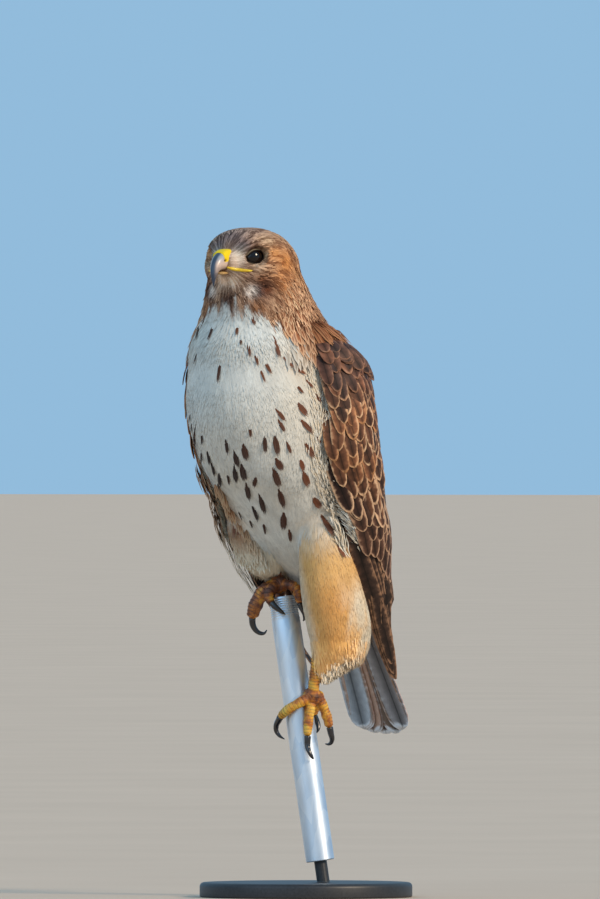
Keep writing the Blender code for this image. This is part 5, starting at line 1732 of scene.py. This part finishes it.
def build_wing(side_word, sign, tuck):
    vanes = Vanes()
    draws = random.Random(5)
    mirror = np.array((sign, 1, 1))

    def lay(across, root, tip, half, lift, tilt, outline, heart, rim, edged, banded, slant=0.0):
        steps = outline[:, 0]
        heights = root + (tip - root) * steps
        centre, back, down, out = wing_axes(heights, np.clip(across + 0.02 * steps, 0, 1))
        centre = centre + back * (slant * steps * abs(tip - root))[:, None]
        angle = math.radians(tilt)
        side = back * math.cos(angle) + out * math.sin(angle)
        face = out * math.cos(angle) - back * math.sin(angle)
        rise = np.interp(steps, (0, 0.35, 0.7, 1.0), (0, 0.6, 0.9, 1.0))
        centre = centre + out * (ROOT_SUNK + (lift - ROOT_SUNK) * rise)[:, None]
        vanes.add(
            steps, centre * mirror, side * mirror, face * mirror, half * outline[:, 1], 0.0006, heart, rim,
            edged, banded,
        )

    for number, row in enumerate(LONG_ROWS):
        count, ahead, behind, root0, root1, tip0, tip1, half, lift, tilt, heart, rim = row
        for i in range(count):
            f = i / (count - 1)
            across = ahead + (behind - ahead) * f + 0.3 * tuck * (1 - f) + draws.uniform(-0.012, 0.012)
            tip = PRIMARY_TIPS[i] if number == 0 else tip0 + (tip1 - tip0) * f + draws.uniform(-0.004, 0.004)
            lay(
                across, root0 + (root1 - root0) * f, tip, half * draws.uniform(0.92, 1.08),
                lift + 0.0003 * (i % 3), tilt + draws.uniform(-2, 2), LONG, heart * draws.uniform(0.75, 1.25),
                rim * draws.uniform(0.8, 1.1), 0.95 if number else 0.75, 0.93,
            )
    for row in range(COVERT_ROWS):
        f = row / (COVERT_ROWS - 1)
        for i in range(COVERTS_ACROSS):
            g = (i + 0.5 * (row % 2)) / (COVERTS_ACROSS - 0.5)
            across = 0.06 + 0.90 * g + tuck * (1 - g) + draws.uniform(-0.022, 0.022)
            tip = 0.430 + 0.156 * f - 0.016 * g + draws.uniform(-0.0045, 0.0045)
            length = 0.052 - 0.010 * f
            heart, rim, edged = covert_tones(tip + 0.006, across, draws)
            lay(
                across, min(tip + length, 0.603), tip, (0.0074 - 0.0012 * f) * draws.uniform(0.85, 1.15),
                -0.0018 + 0.0040 * f + draws.uniform(-0.0002, 0.0003), 9 + draws.uniform(-4, 4), BLUNT,
                heart * draws.uniform(0.8, 1.2), rim * draws.uniform(0.8, 1.1),
                edged * draws.uniform(0.85, 1.1), draws.uniform(0.80, 0.90), draws.uniform(-0.12, 0.14),
            )
    # scapulars and the cape of the upper back, over the coverts
    for f in np.linspace(0, 1, SCAPULARS):
        across = draws.uniform(0.72, 0.99)
        tip = 0.430 + 0.130 * f + draws.uniform(-0.004, 0.004)
        heart = mix(shade(58, 40, 34), MANTLE * 0.8, f) * draws.uniform(0.75, 1.2)
        rim = mix(shade(226, 196, 166), shade(150, 104, 78), f)
        lay(
            across, min(tip + 0.060, 0.603), tip, 0.0086, 0.0026 + 0.0022 * f, 10, BLUNT, heart, rim,
            draws.uniform(0.8, 1.1), 0.86, 0.05,
        )
    for f in np.linspace(0, 1, CAPE_FEATHERS):
        across = draws.uniform(0.12, 0.97)
        tip = 0.574 - 0.030 * across + draws.uniform(-0.006, 0.006)
        lay(
            across, 0.603, tip, 0.0080, 0.0030 + 0.0012 * f, 9, BLUNT, MANTLE * draws.uniform(0.55, 0.95),
            shade(150, 108, 84) * draws.uniform(0.7, 1.1), 0.6, 0.88, 0.30,
        )
    return vanes.piece(f"wing_{side_word}_feathers", WING_FINISH)


# Tail feathers from one side to the other, as seen from below: share of the spread, colour
TAIL_VANES = (
    (-1.00, (140, 148, 156)), (-0.93, (128, 118, 112)), (-0.86, (146, 122, 108)),
    (-0.62, (150, 126, 112)), (-0.52, (112, 100, 94)), (-0.12, (128, 108, 98)),
    (-0.04, (140, 120, 110)), (0.40, (120, 98, 86)), (0.50, (96, 82, 72)),
    (0.86, (128, 106, 92)), (0.93, (98, 84, 74)), (1.00, (124, 122, 124)),
)


def build_tail():
    vanes = Vanes()
    root, along, side, out = tail_frame()
    steps = np.array((0.10, 0.3, 0.5, 0.7, 0.86, 0.93, 0.965, 0.985, 1.0))
    widths = np.array((0.45, 0.7, 0.85, 0.96, 1.0, 0.95, 0.80, 0.58, 0.16))
    for place, tone in TAIL_VANES:
        length = TAIL_LENGTH - 0.010 * place**2 + 0.001
        spread = TAIL_SPREAD[0] + (TAIL_SPREAD[1] - TAIL_SPREAD[0]) * steps
        drop = 0.002 - 0.0060 * abs(place) * steps
        centre = root + np.outer(length * steps, along) + np.outer(place * spread, side) + np.outer(drop, out)
        roll = -math.copysign(math.radians(6), place)
        flat = side * math.cos(roll) + out * math.sin(roll)
        face = out * math.cos(roll) - side * math.sin(roll)
        many = len(steps)
        vanes.add(
            steps, centre, [flat] * many, [face] * many, TAIL_HALF_WIDTH * widths, 0.0007, shade(*tone) * 1.4,
            shade(230, 234, 240), edged=0.45, banded=0.935, upper=shade(168, 88, 48),
        )
    return vanes.piece("tail_feathers", vane_material("tail_feathers", mottling=0.08))


WING_FINISH = vane_material("wing_feathers")
wing_left = build_wing("left", 1, 0.0)
wing_right = build_wing("right", -1, RIGHT_WING_TUCK)
tail = build_tail()
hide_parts("wing_left")
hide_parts("wing_right")
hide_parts("tail")


def dress_skin():
    """The skin itself, coloured as the roots of its coat, with painted shade: darker by half under the hood's
    coat away from the eyes, and dark brown where the wings hide it.
    """
    skin_points = places_of(skin)
    skin_limb = limb(skin_points)
    heart, rim = plumage.colours(skin_points, skin_limb)
    skin_tone = mix(heart, rim, 0.4)
    # painted shade between the hood's tufts: the skin there is darkened by half
    deep = plumage.hood(skin_points) * smooth(eye_gap(skin_points), 1.6, 2.4)
    skin_tone = mix(skin_tone, skin_tone * 0.5, deep)
    # painted shade under the folded wings: the hidden skin is dark brown
    bed = under_wing(skin_points, normals_of(skin))
    skin_tone = np.where(bed[:, None], MANTLE * 0.5, skin_tone)
    skin_object = to_object("skin", skin, coat_material("skin", grain=600.0))
    tint(skin_object.data, "tint", skin_tone)
    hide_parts("torso", "neck", "head", "thigh_left", "thigh_right")


dress_skin()


# Eyes and bill

def eye_material():
    wet = {"Specular_IOR_Level": 0.25, "Coat_Weight": 0.35, "Coat_Roughness": 0.02}
    made, tree, shader = material("eye_dark", 0.10, **wet)
    mottle = noise_of(tree, on_object(tree), 700)
    colours = ramp(tree, mottle, ((0.3, (8, 4, 3)), (0.8, (24, 12, 8))))
    feed(tree, shader.inputs["Base Color"], colours)
    return made


def noisy_material(name, stops, scale, roughness, bump=0.2, **sockets):
    """A colour that wanders between stops, with a fine bump from the same noise."""
    made, tree, shader = material(name, roughness, **sockets)
    noise = noise_of(tree, on_object(tree), scale, 4)
    finish_with(tree, shader, ramp(tree, noise, stops), noise, bump, 0.0003)
    return made


EYE_FINISH = eye_material()
LID_FINISH = coat_material("lid_skin", grain=1400.0, amount=0.3, bump=0.3, roughness=0.55)
LID_THICK = 0.0010
LID_SPUN = 0.0080


def lid_form(face, look, across, upward):
    """The rim of skin round the eye, which follows the eyeball and is drawn to a point in front, and
    how far outward each of its points lies."""
    front = across if across[1] < 0 else -across
    lid = bmesh.new()
    bmesh.ops.create_circle(
        lid, cap_ends=False, radius=LID_THICK, segments=14,
        matrix=Matrix.Translation((LID_SPUN, 0, 0)) @ Matrix.Rotation(math.pi / 2, 4, "X"),
    )
    bmesh.ops.spin(
        lid, geom=lid.verts[:] + lid.edges[:], cent=(0, 0, 0), axis=(0, 0, 1), angle=2 * math.pi,
        steps=64, use_merge=True,
    )
    rims = []
    for vert in lid.verts:
        x, y, z = vert.co
        angle = math.atan2(y, x)
        outward = math.hypot(x, y) - LID_SPUN
        long = EYE_OPEN[0] * (1 + 0.22 * max(0.0, math.cos(angle)) ** 10)
        tall = EYE_OPEN[1] if y > 0 else EYE_OPEN[2]
        tall *= 1 - 0.25 * max(0.0, math.cos(angle)) ** 2
        a = (long + outward) * math.cos(angle)
        b = (tall + outward) * math.sin(angle)
        reach = min(math.hypot(a, b), EYE_RADIUS * 0.985)
        depth = EYE_RADIUS - math.sqrt(EYE_RADIUS**2 - reach**2)
        vert.co = Vector(face + front * a + upward * b - look * (depth * 0.86 - z * 1.1 - 0.0002))
        rims.append(outward)
    bmesh.ops.recalc_face_normals(lid, faces=lid.faces)
    return lid, rims


def build_eye(sign, word):
    face, look, across, upward = eye_frame(sign)
    form = egg(face - look * EYE_RADIUS, (EYE_RADIUS,) * 3, (across, upward, look), 40, 32)
    eyeball = to_object(f"eyeball_{word}", form, EYE_FINISH)
    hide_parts(f"eye_{word}")
    lid, rims = lid_form(face, look, across, upward)
    lid_object = to_object(f"lid_{word}", lid, LID_FINISH)
    pale = smooth(np.array(rims), -0.1 * LID_THICK, 0.7 * LID_THICK)
    tint(lid_object.data, "tint", mix(shade(34, 26, 22), shade(176, 158, 130), pale))


for side in SIDES:
    build_eye(*side)


def bill_form(table, first, last, around, along, grown=0.0, lifted=0.0, narrow=BILL_NARROW, boxy=BILL_POWER):
    def place(share, c, s):
        row = curve(table, first + (last - first) * share)
        top = np.array((0.0, row[0], row[1]))
        bottom = np.array((0.0, row[2], row[3] + lifted))
        middle = (top + bottom) / 2
        reach = top - middle
        reach = reach * (1 + grown / np.linalg.norm(reach))
        wide = max(row[4] * narrow + grown, 0.0002)
        return middle + reach * power(s, boxy) + np.array((wide * power(c, boxy), 0, 0))
    return wrap(around, along, place)


def horn_material():
    """Horn from dark at the tip to pinkish at the cere, slate along its ridge."""
    made, tree, shader = material("bill_horn", 0.32, Coat_Weight=0.3, Coat_Roughness=0.25)
    place = on_object(tree)
    parts = add(tree, "SeparateXYZ", {0: place}).outputs
    height = ranged(tree, parts["Z"], HORN_TIP - FLOOR, HORN_TOP - FLOOR, kind="LINEAR")
    wander = reckon(tree, "MULTIPLY_ADD", noise_of(tree, place, 260), 0.25, height)
    colours = ramp(tree, reckon(tree, "ADD", wander, -0.12), (
        (0.0, (22, 22, 26)), (0.20, (46, 46, 54)), (0.42, (132, 118, 116)),
        (0.72, (206, 180, 164)), (1.0, (140, 150, 160)),
    ))
    flank = ranged(tree, reckon(tree, "ABSOLUTE", parts["X"]), 0.0012, 0.0040)
    feeds = {"Factor": flank, 6: (*shade(46, 58, 78), 1), 7: colours}
    feed(tree, shader.inputs["Base Color"], add(tree, "Mix", feeds, data_type="RGBA").outputs[2])
    return made


HORN = horn_material()
CERE_FINISH = noisy_material(
    "cere_skin", ((0.3, (206, 160, 20)), (0.7, (238, 206, 44))), 420, 0.42, Coat_Weight=0.2,
)


def dent_nostrils(form, depth):
    for vert in form.verts:
        for sign in (1, -1):
            local = (np.array(vert.co) - np.array(NOSTRIL) * (sign, 1, 1)) / NOSTRIL_HALF
            if local @ local < 1:
                vert.co.x -= sign * depth * (1 - local @ local)


def build_bill():
    upper_form = bill_form(BILL, 0.3, len(BILL) - 1, 64, 96)
    dent_nostrils(upper_form, 0.0030)
    upper = to_object("bill_upper", upper_form, HORN)
    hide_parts("upper_bill")
    jaw_form = bill_form(JAW, 0.0, len(JAW) - 1, 28, 20, grown=-0.0008, lifted=0.0020, narrow=0.62)
    jaw_horn = noisy_material("jaw_horn", ((0.3, (176, 136, 84)), (0.7, (206, 168, 108))), 400, 0.45)
    jaw = to_object("bill_lower", jaw_form, jaw_horn)
    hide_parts("lower_bill")
    cere_form = bill_form(BILL, 0.0, CERE_ENDS, 96, 72, grown=0.0004, lifted=CERE_LIFTED, boxy=3.2)
    dent_nostrils(cere_form, 0.0016)
    cere_points = places_of(cere_form)
    finish = coat_material("cere_skin", grain=700.0, amount=0.3, bump=0.5, roughness=0.45)
    cere = to_object("cere_skin", cere_form, finish)
    # the nostrils are painted near-black: painted shade inside the openings
    nostril_shade = np.zeros(len(cere_points))
    for sign in (1, -1):
        local = (cere_points - np.array(NOSTRIL) * (sign, 1, 1)) / NOSTRIL_HALF
        nostril_shade = np.maximum(nostril_shade, 1 - smooth(np.linalg.norm(local, axis=1), 0.4, 0.95))
    low = 1 - smooth(cere_points[:, 2], 0.6655, 0.6685)
    cere_tone = mix(shade(236, 200, 30), shade(214, 178, 150), 0.85 * low)
    tint(cere.data, "tint", mix(cere_tone, shade(30, 20, 14), nostril_shade))
    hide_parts("cere")


build_bill()


# The yellow gape, from the corner of the bill back under the eye
GAPE = ((227, 268.0), (232, 269.6), (238, 270.6), (244, 271.4), (250, 271.8), (254, 271.6))


def build_gape(sign, word):
    path = []
    for px, py in GAPE:
        place, normal = photo_hit(skin_tree, px, py)
        path.append((place + normal * 0.0004) * (sign, 1, 1))

    def thickness(share, c, s):
        end = min(max(share, 0.0), 1.0)
        return 0.0021 * math.sin(math.pi * end**0.75) ** 0.6 * (0.75 if abs(s) > 0.7 else 1.0) + 0.0001
    to_object(f"gape_{word}", sleeve(path, thickness, 14, 40), CERE_FINISH)


for side in SIDES:
    build_gape(*side)


# Legs

def pipe_frame():
    top = np.array(PIPE_TOP)
    down = unit(np.array(PIPE_BOTTOM) - top)
    right = unit(RIGHT - down * np.dot(RIGHT, down))
    near = np.cross(down, right)
    if np.dot(near, NEAR) < 0:
        near = -near
    return top, down, right, near


def on_pipe(down_by, degrees, distance):
    top, down, right, near = pipe_frame()
    angle = math.radians(degrees)
    return top + down * down_by + distance * (math.cos(angle) * right + math.sin(angle) * near)


def run_along(rows):
    return np.concatenate([[0], np.cumsum(np.linalg.norm(np.diff(rows, axis=0), axis=1))])


def resample(points, start, end, count):
    rows = fine(points, 200)
    lengths = run_along(rows)
    wanted = np.linspace(start * lengths[-1], end * lengths[-1], count)
    return np.array([[np.interp(w, lengths, rows[:, k]) for k in range(3)] for w in wanted])


def off_pipe(point):
    top, down, right, near = pipe_frame()
    local = point - top
    return unit(local - down * np.dot(local, down))


def toe_form(path, stout):
    def radius(share, c, s):
        base = np.interp(share, np.linspace(0, 1, len(TOE_RADIUS)), TOE_RADIUS) * stout
        pads = 0.0005 * max(0.0, -c) * math.sin(share * math.pi * 4) ** 2
        ends = min(1.0, (1 - share) * 12) ** 0.5
        return (base * 0.93 + pads) * ends + 0.0002
    return sleeve(path, radius, 20, 60, outward=off_pipe)


def add_scutes(form, paths):
    """Raises the plates along each toe and shin, and returns how deep each point sits in a seam."""
    form.normal_update()
    points = places_of(form)
    normals = normals_of(form)
    best = np.full(len(points), 1e9)
    run = np.zeros(len(points))
    facing = np.zeros(len(points))
    for path, ahead in paths:
        rows = fine(path, 160)
        lengths = run_along(rows)
        gaps = np.linalg.norm(points[:, None] - rows[None], axis=2)
        near = gaps.argmin(axis=1)
        gap = gaps[np.arange(len(points)), near]
        closer = gap < best
        best = np.where(closer, gap, best)
        run = np.where(closer, lengths[near], run)
        outward = np.array([ahead(row) for row in rows])[near]
        facing = np.where(closer, np.sum(normals * outward, axis=1), facing)
    plate = (run / SCUTE) % 1.0
    top = smooth(facing, 0.05, 0.45)
    rise = top * (0.00055 * (1 - plate) - 0.00025)
    for vert, normal, step in zip(form.verts, normals, rise):
        vert.co += Vector(normal * step)
    seam = np.maximum(smooth(plate, 0.72, 0.95), 1 - smooth(plate, 0.0, 0.12))
    return seam * top, top


def leg_material():
    """Yellow scaled skin, stained brown at the left knuckle, with painted shade that darkens it upward onto
    the right foot under the body.
    """
    made, tree, shader = material("leg_scales", 0.5, Coat_Weight=0.12, Coat_Roughness=0.4)
    place = on_object(tree)
    knuckle = tuple(np.array(BALLS["left"]) - (0, 0, FLOOR))
    gap = add(tree, "VectorMath", {0: place, 1: knuckle}, operation="DISTANCE").outputs["Value"]
    stain = ranged(tree, gap, 0.004, 0.018, -0.14, 0.04, kind="LINEAR")
    height = add(tree, "SeparateXYZ", {0: place}).outputs["Z"]
    # painted shade: darker upward, most on the right foot under the body
    high = ranged(tree, height, FOOT_SHADE_LOW - FLOOR, FOOT_SHADE_HIGH - FLOOR, 0.0, -0.22, kind="LINEAR")
    wander = reckon(tree, "ADD", noise_of(tree, place, 120, 4), stain)
    colours = ramp(tree, reckon(tree, "ADD", wander, high), (
        (0.22, (92, 46, 22)), (0.30, (124, 64, 26)), (0.42, (184, 108, 36)),
        (0.54, (222, 158, 50)), (0.72, (240, 196, 84)),
    ))
    cells = add(tree, "TexVoronoi", {"Vector": place, "Scale": 560}, feature="DISTANCE_TO_EDGE")
    seams = ranged(tree, cells, 0.0, 0.10, 0.55, 1.0, kind="LINEAR")
    marks = add(tree, "SeparateColor", {0: stored(tree, "tint")}).outputs
    # the plates on top have no small scales
    plain = reckon(tree, "MAXIMUM", seams, marks[1])
    grooves = ranged(tree, marks[0], 0.0, 1.0, 1.0, 0.40, kind="LINEAR")
    finish_with(tree, shader, scaled(tree, scaled(tree, colours, plain), grooves), seams, 0.6, 0.0004)
    return made


LEG_FINISH = leg_material()
CLAW_FINISH = noisy_material(
    "claw_horn", ((0.3, (16, 15, 17)), (0.7, (38, 36, 40))), 300, 0.22, bump=0.05,
    Coat_Weight=0.6, Coat_Roughness=0.12,
)


def build_leg(word):
    forms = [egg(BALLS[word], (BALL_RADIUS,) * 3, np.eye(3), 28, 20)]
    paths = []
    for toe, stations in TOES[word].items():
        stout = STOUT_TOE[2] if (word, toe) == STOUT_TOE[:2] else 1.0
        path = [on_pipe(*station) for station in stations]
        toe_path = resample(path, 0.0, TOE_SHARE, 24)
        forms.append(toe_form(toe_path, stout))
        paths.append((toe_path, off_pipe))
        claw_path = resample(path, TOE_SHARE - 0.03, 1.0, 16)

        def claw_radius(share, c, s):
            base = np.interp(share, np.linspace(0, 1, len(CLAW_RADIUS)), CLAW_RADIUS)
            return base * (1 if share > 0.04 else 0.6)
        claw = to_object(f"talon_{word}_{toe}", sleeve(claw_path, claw_radius, 18, 36), CLAW_FINISH)
        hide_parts(f"claw_{word}_{toe}")
    start, end, wide, narrow = SHINS[word]
    shin_path = np.linspace(start, end, 6)

    def shin_radius(share, c, s):
        return (wide + (narrow - wide) * share) * 0.96
    forms.append(sleeve(shin_path, shin_radius, 28, 40))
    paths.append((shin_path, lambda row: np.array((0.45, -0.89, 0.0))))
    leg_form = fused("leg", forms, LEG_VOXEL, 1)
    seams, tops = add_scutes(leg_form, paths)
    leg = to_object(f"leg_{word}", leg_form, LEG_FINISH)
    tint(leg.data, "tint", np.stack((seams, tops, np.zeros_like(tops)), axis=1))
    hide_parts(f"foot_{word}", f"shin_{word}")


for sign, word in SIDES:
    build_leg(word)


# Pipe and stand

def galvanised_material():
    made, tree, shader = material("galvanised", 0.38, Metallic=0.85)
    drawn = add(tree, "Mapping", {"Vector": on_object(tree), "Scale": (1.0, 1.0, 0.35)})
    spangle = add(tree, "TexVoronoi", {"Vector": drawn, "Scale": 110})
    grain = add(tree, "SeparateColor", {0: spangle.outputs["Color"]})
    noise = noise_of(tree, drawn, 45, 5)
    # zinc grey with a blue tint: painted reflection of the blue sky on the metal
    zinc_and_sky_tint = ((0.25, (182, 198, 216)), (0.55, (208, 222, 236)), (0.9, (236, 242, 248)))
    colours = ramp(tree, reckon(tree, "MULTIPLY_ADD", grain, 0.35, noise), zinc_and_sky_tint)
    feed(tree, shader.inputs["Roughness"], ranged(tree, noise, 0.0, 1.0, 0.30, 0.52, kind="LINEAR"))
    finish_with(tree, shader, colours, noise, 0.15, 0.0004)
    return made


def turned(profile, steps):
    """A profile of distance and height, turned about Z."""
    form = bmesh.new()
    verts = [form.verts.new((distance, 0, height)) for distance, height in profile]
    for a, b in zip(verts, verts[1:]):
        form.edges.new((a, b))
    bmesh.ops.spin(
        form, geom=form.verts[:] + form.edges[:], cent=(0, 0, 0), axis=(0, 0, 1), angle=2 * math.pi,
        steps=steps, use_merge=True,
    )
    bmesh.ops.remove_doubles(form, verts=form.verts, dist=1e-6)
    bmesh.ops.recalc_face_normals(form, faces=form.faces)
    return form


def build_pipe():
    pipe_length = float(np.linalg.norm(np.array(PIPE_BOTTOM) - np.array(PIPE_TOP)))
    profile = [
        (0.0, -PIPE_BORE_DEPTH), (PIPE_BORE, -PIPE_BORE_DEPTH), (PIPE_BORE, -BORE_EDGE),
        (PIPE_BORE + BORE_EDGE, 0.0), (PIPE_RADIUS - THREAD_DEPTH, 0.0),
    ]
    for i in range(THREADS):
        crest = THREAD_PITCH * (i + 0.75)
        fading = min(1.0, (THREADS - i) / 3)
        profile.append((PIPE_RADIUS - CREST_FLAT, -crest + CREST_FLAT))
        profile.append((PIPE_RADIUS - CREST_FLAT, -crest - CREST_FLAT))
        profile.append((PIPE_RADIUS - THREAD_DEPTH * fading, -crest - THREAD_PITCH / 2))
    profile.append((PIPE_RADIUS, -THREAD_PITCH * (THREADS + 0.9)))
    for share in np.linspace(0.15, 1, 8):
        profile.append((PIPE_RADIUS, -PIPE_PLAIN - (pipe_length - PIPE_PLAIN - PIPE_END) * share))
    profile += [(PIPE_RADIUS - PIPE_END, -pipe_length), (0.0, -pipe_length)]
    pipe_form = turned(profile, 64)
    top, down, right, near = pipe_frame()
    turn = Matrix((right, np.cross(-down, right), -down)).transposed().to_4x4()
    bmesh.ops.transform(pipe_form, matrix=Matrix.Translation(Vector(top)) @ turn, verts=pipe_form.verts)
    pipe = to_object("pipe", pipe_form, galvanised_material())
    sharp = pipe.modifiers.new("edges", "EDGE_SPLIT")
    sharp.split_angle = math.radians(40)
    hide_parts("perch_pipe")


build_pipe()


BLACK = noisy_material("stand_black", ((0.3, (30, 30, 32)), (0.7, (46, 46, 49))), 500, 0.45, bump=0.12)


def build_base():
    base_profile = [(0.0, 0.0), (BASE_RADIUS - BASE_FOOT_ROUND, 0.0)]
    base_profile += [
        (BASE_RADIUS - BASE_FOOT_ROUND * (1 - math.sin(a)), BASE_FOOT_ROUND * (1 - math.cos(a)))
        for a in np.linspace(0.3, math.pi / 2, 5)
    ]
    base_profile += [
        (BASE_RADIUS - BASE_TOP_ROUND * (1 - math.cos(a)), BASE_HEIGHT - BASE_TOP_ROUND * (1 - math.sin(a)))
        for a in np.linspace(0, math.pi / 2, 8)
    ]
    base_profile += [(BASE_MIDDLE, BASE_HEIGHT), (0.0, BASE_HEIGHT)]
    base_form = turned(base_profile, 128)
    bmesh.ops.translate(base_form, verts=base_form.verts, vec=(0, 0, FLOOR))
    base = to_object("stand_disc", base_form, BLACK)
    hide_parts("stand_base")


build_base()
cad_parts["stand_rod"].data.materials.clear()
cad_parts["stand_rod"].data.materials.append(BLACK)


# Floor, light and camera

CAMERA_AWAY = 20.0
SENSOR = 36
SIGHT_ENDS = 400
FLOOR_HALF = 150
SKY_COLOUR = (0.38, 0.66, 0.94, 1)
SKY_STRENGTH = 0.76


def build_floor():
    floor_form = bmesh.new()
    bmesh.ops.create_grid(floor_form, x_segments=8, y_segments=8, size=FLOOR_HALF)
    floor_mesh = bpy.data.meshes.new("floor")
    floor_form.to_mesh(floor_mesh)
    floor_form.free()
    floor = bpy.data.objects.new("floor", floor_mesh)
    bpy.context.scene.collection.objects.link(floor)
    floor.data.materials.append(
        noisy_material("floor_pale", ((0.3, (206, 180, 156)), (0.7, (212, 186, 162))), 3, 0.9, bump=0.0)
    )


def build_sky():
    world = bpy.data.worlds.new("studio")
    bpy.context.scene.world = world
    world.use_nodes = True
    world.node_tree.nodes["Background"].inputs["Color"].default_value = SKY_COLOUR
    world.node_tree.nodes["Background"].inputs["Strength"].default_value = SKY_STRENGTH


def soft_sun(name, way, strength, colour, spread):
    light = bpy.data.lights.new(name, "SUN")
    light.energy = strength
    light.color = colour
    light.angle = math.radians(spread)
    made = bpy.data.objects.new(name, light)
    bpy.context.scene.collection.objects.link(made)
    made.rotation_euler = Vector(way).to_track_quat("-Z", "Y").to_euler()


def build_camera():
    camera_data = bpy.data.cameras.new("camera")
    camera = bpy.data.objects.new("camera", camera_data)
    bpy.context.scene.collection.objects.link(camera)
    camera_data.sensor_width = SENSOR
    camera_data.lens = SENSOR / 2 * CAMERA_AWAY / (PHOTO_MIDDLE[1] * PIXEL)
    camera_data.clip_end = SIGHT_ENDS
    aside = (PHOTO_HALF_WIDTH - PHOTO_MIDDLE[0]) * PIXEL
    target = RIGHT * aside + np.array((0, 0, VIEW_HEIGHT - FLOOR))
    camera.location = Vector(target + NEAR * CAMERA_AWAY)
    camera.rotation_euler = Vector(-NEAR).to_track_quat("-Z", "Y").to_euler()
    bpy.context.scene.camera = camera
    bpy.context.scene.view_settings.view_transform = "Standard"


build_floor()
build_sky()
soft_sun("key", -(RIGHT * 1.0 + NEAR * 0.78 + np.array((0, 0, 0.62))), 2.75, (1.0, 0.82, 0.62), 16)
soft_sun("fill", -(-RIGHT * 0.8 + NEAR * 0.8 + np.array((0, 0, 0.5))), 0.65, (0.60, 0.80, 1.0), 60)
build_camera()
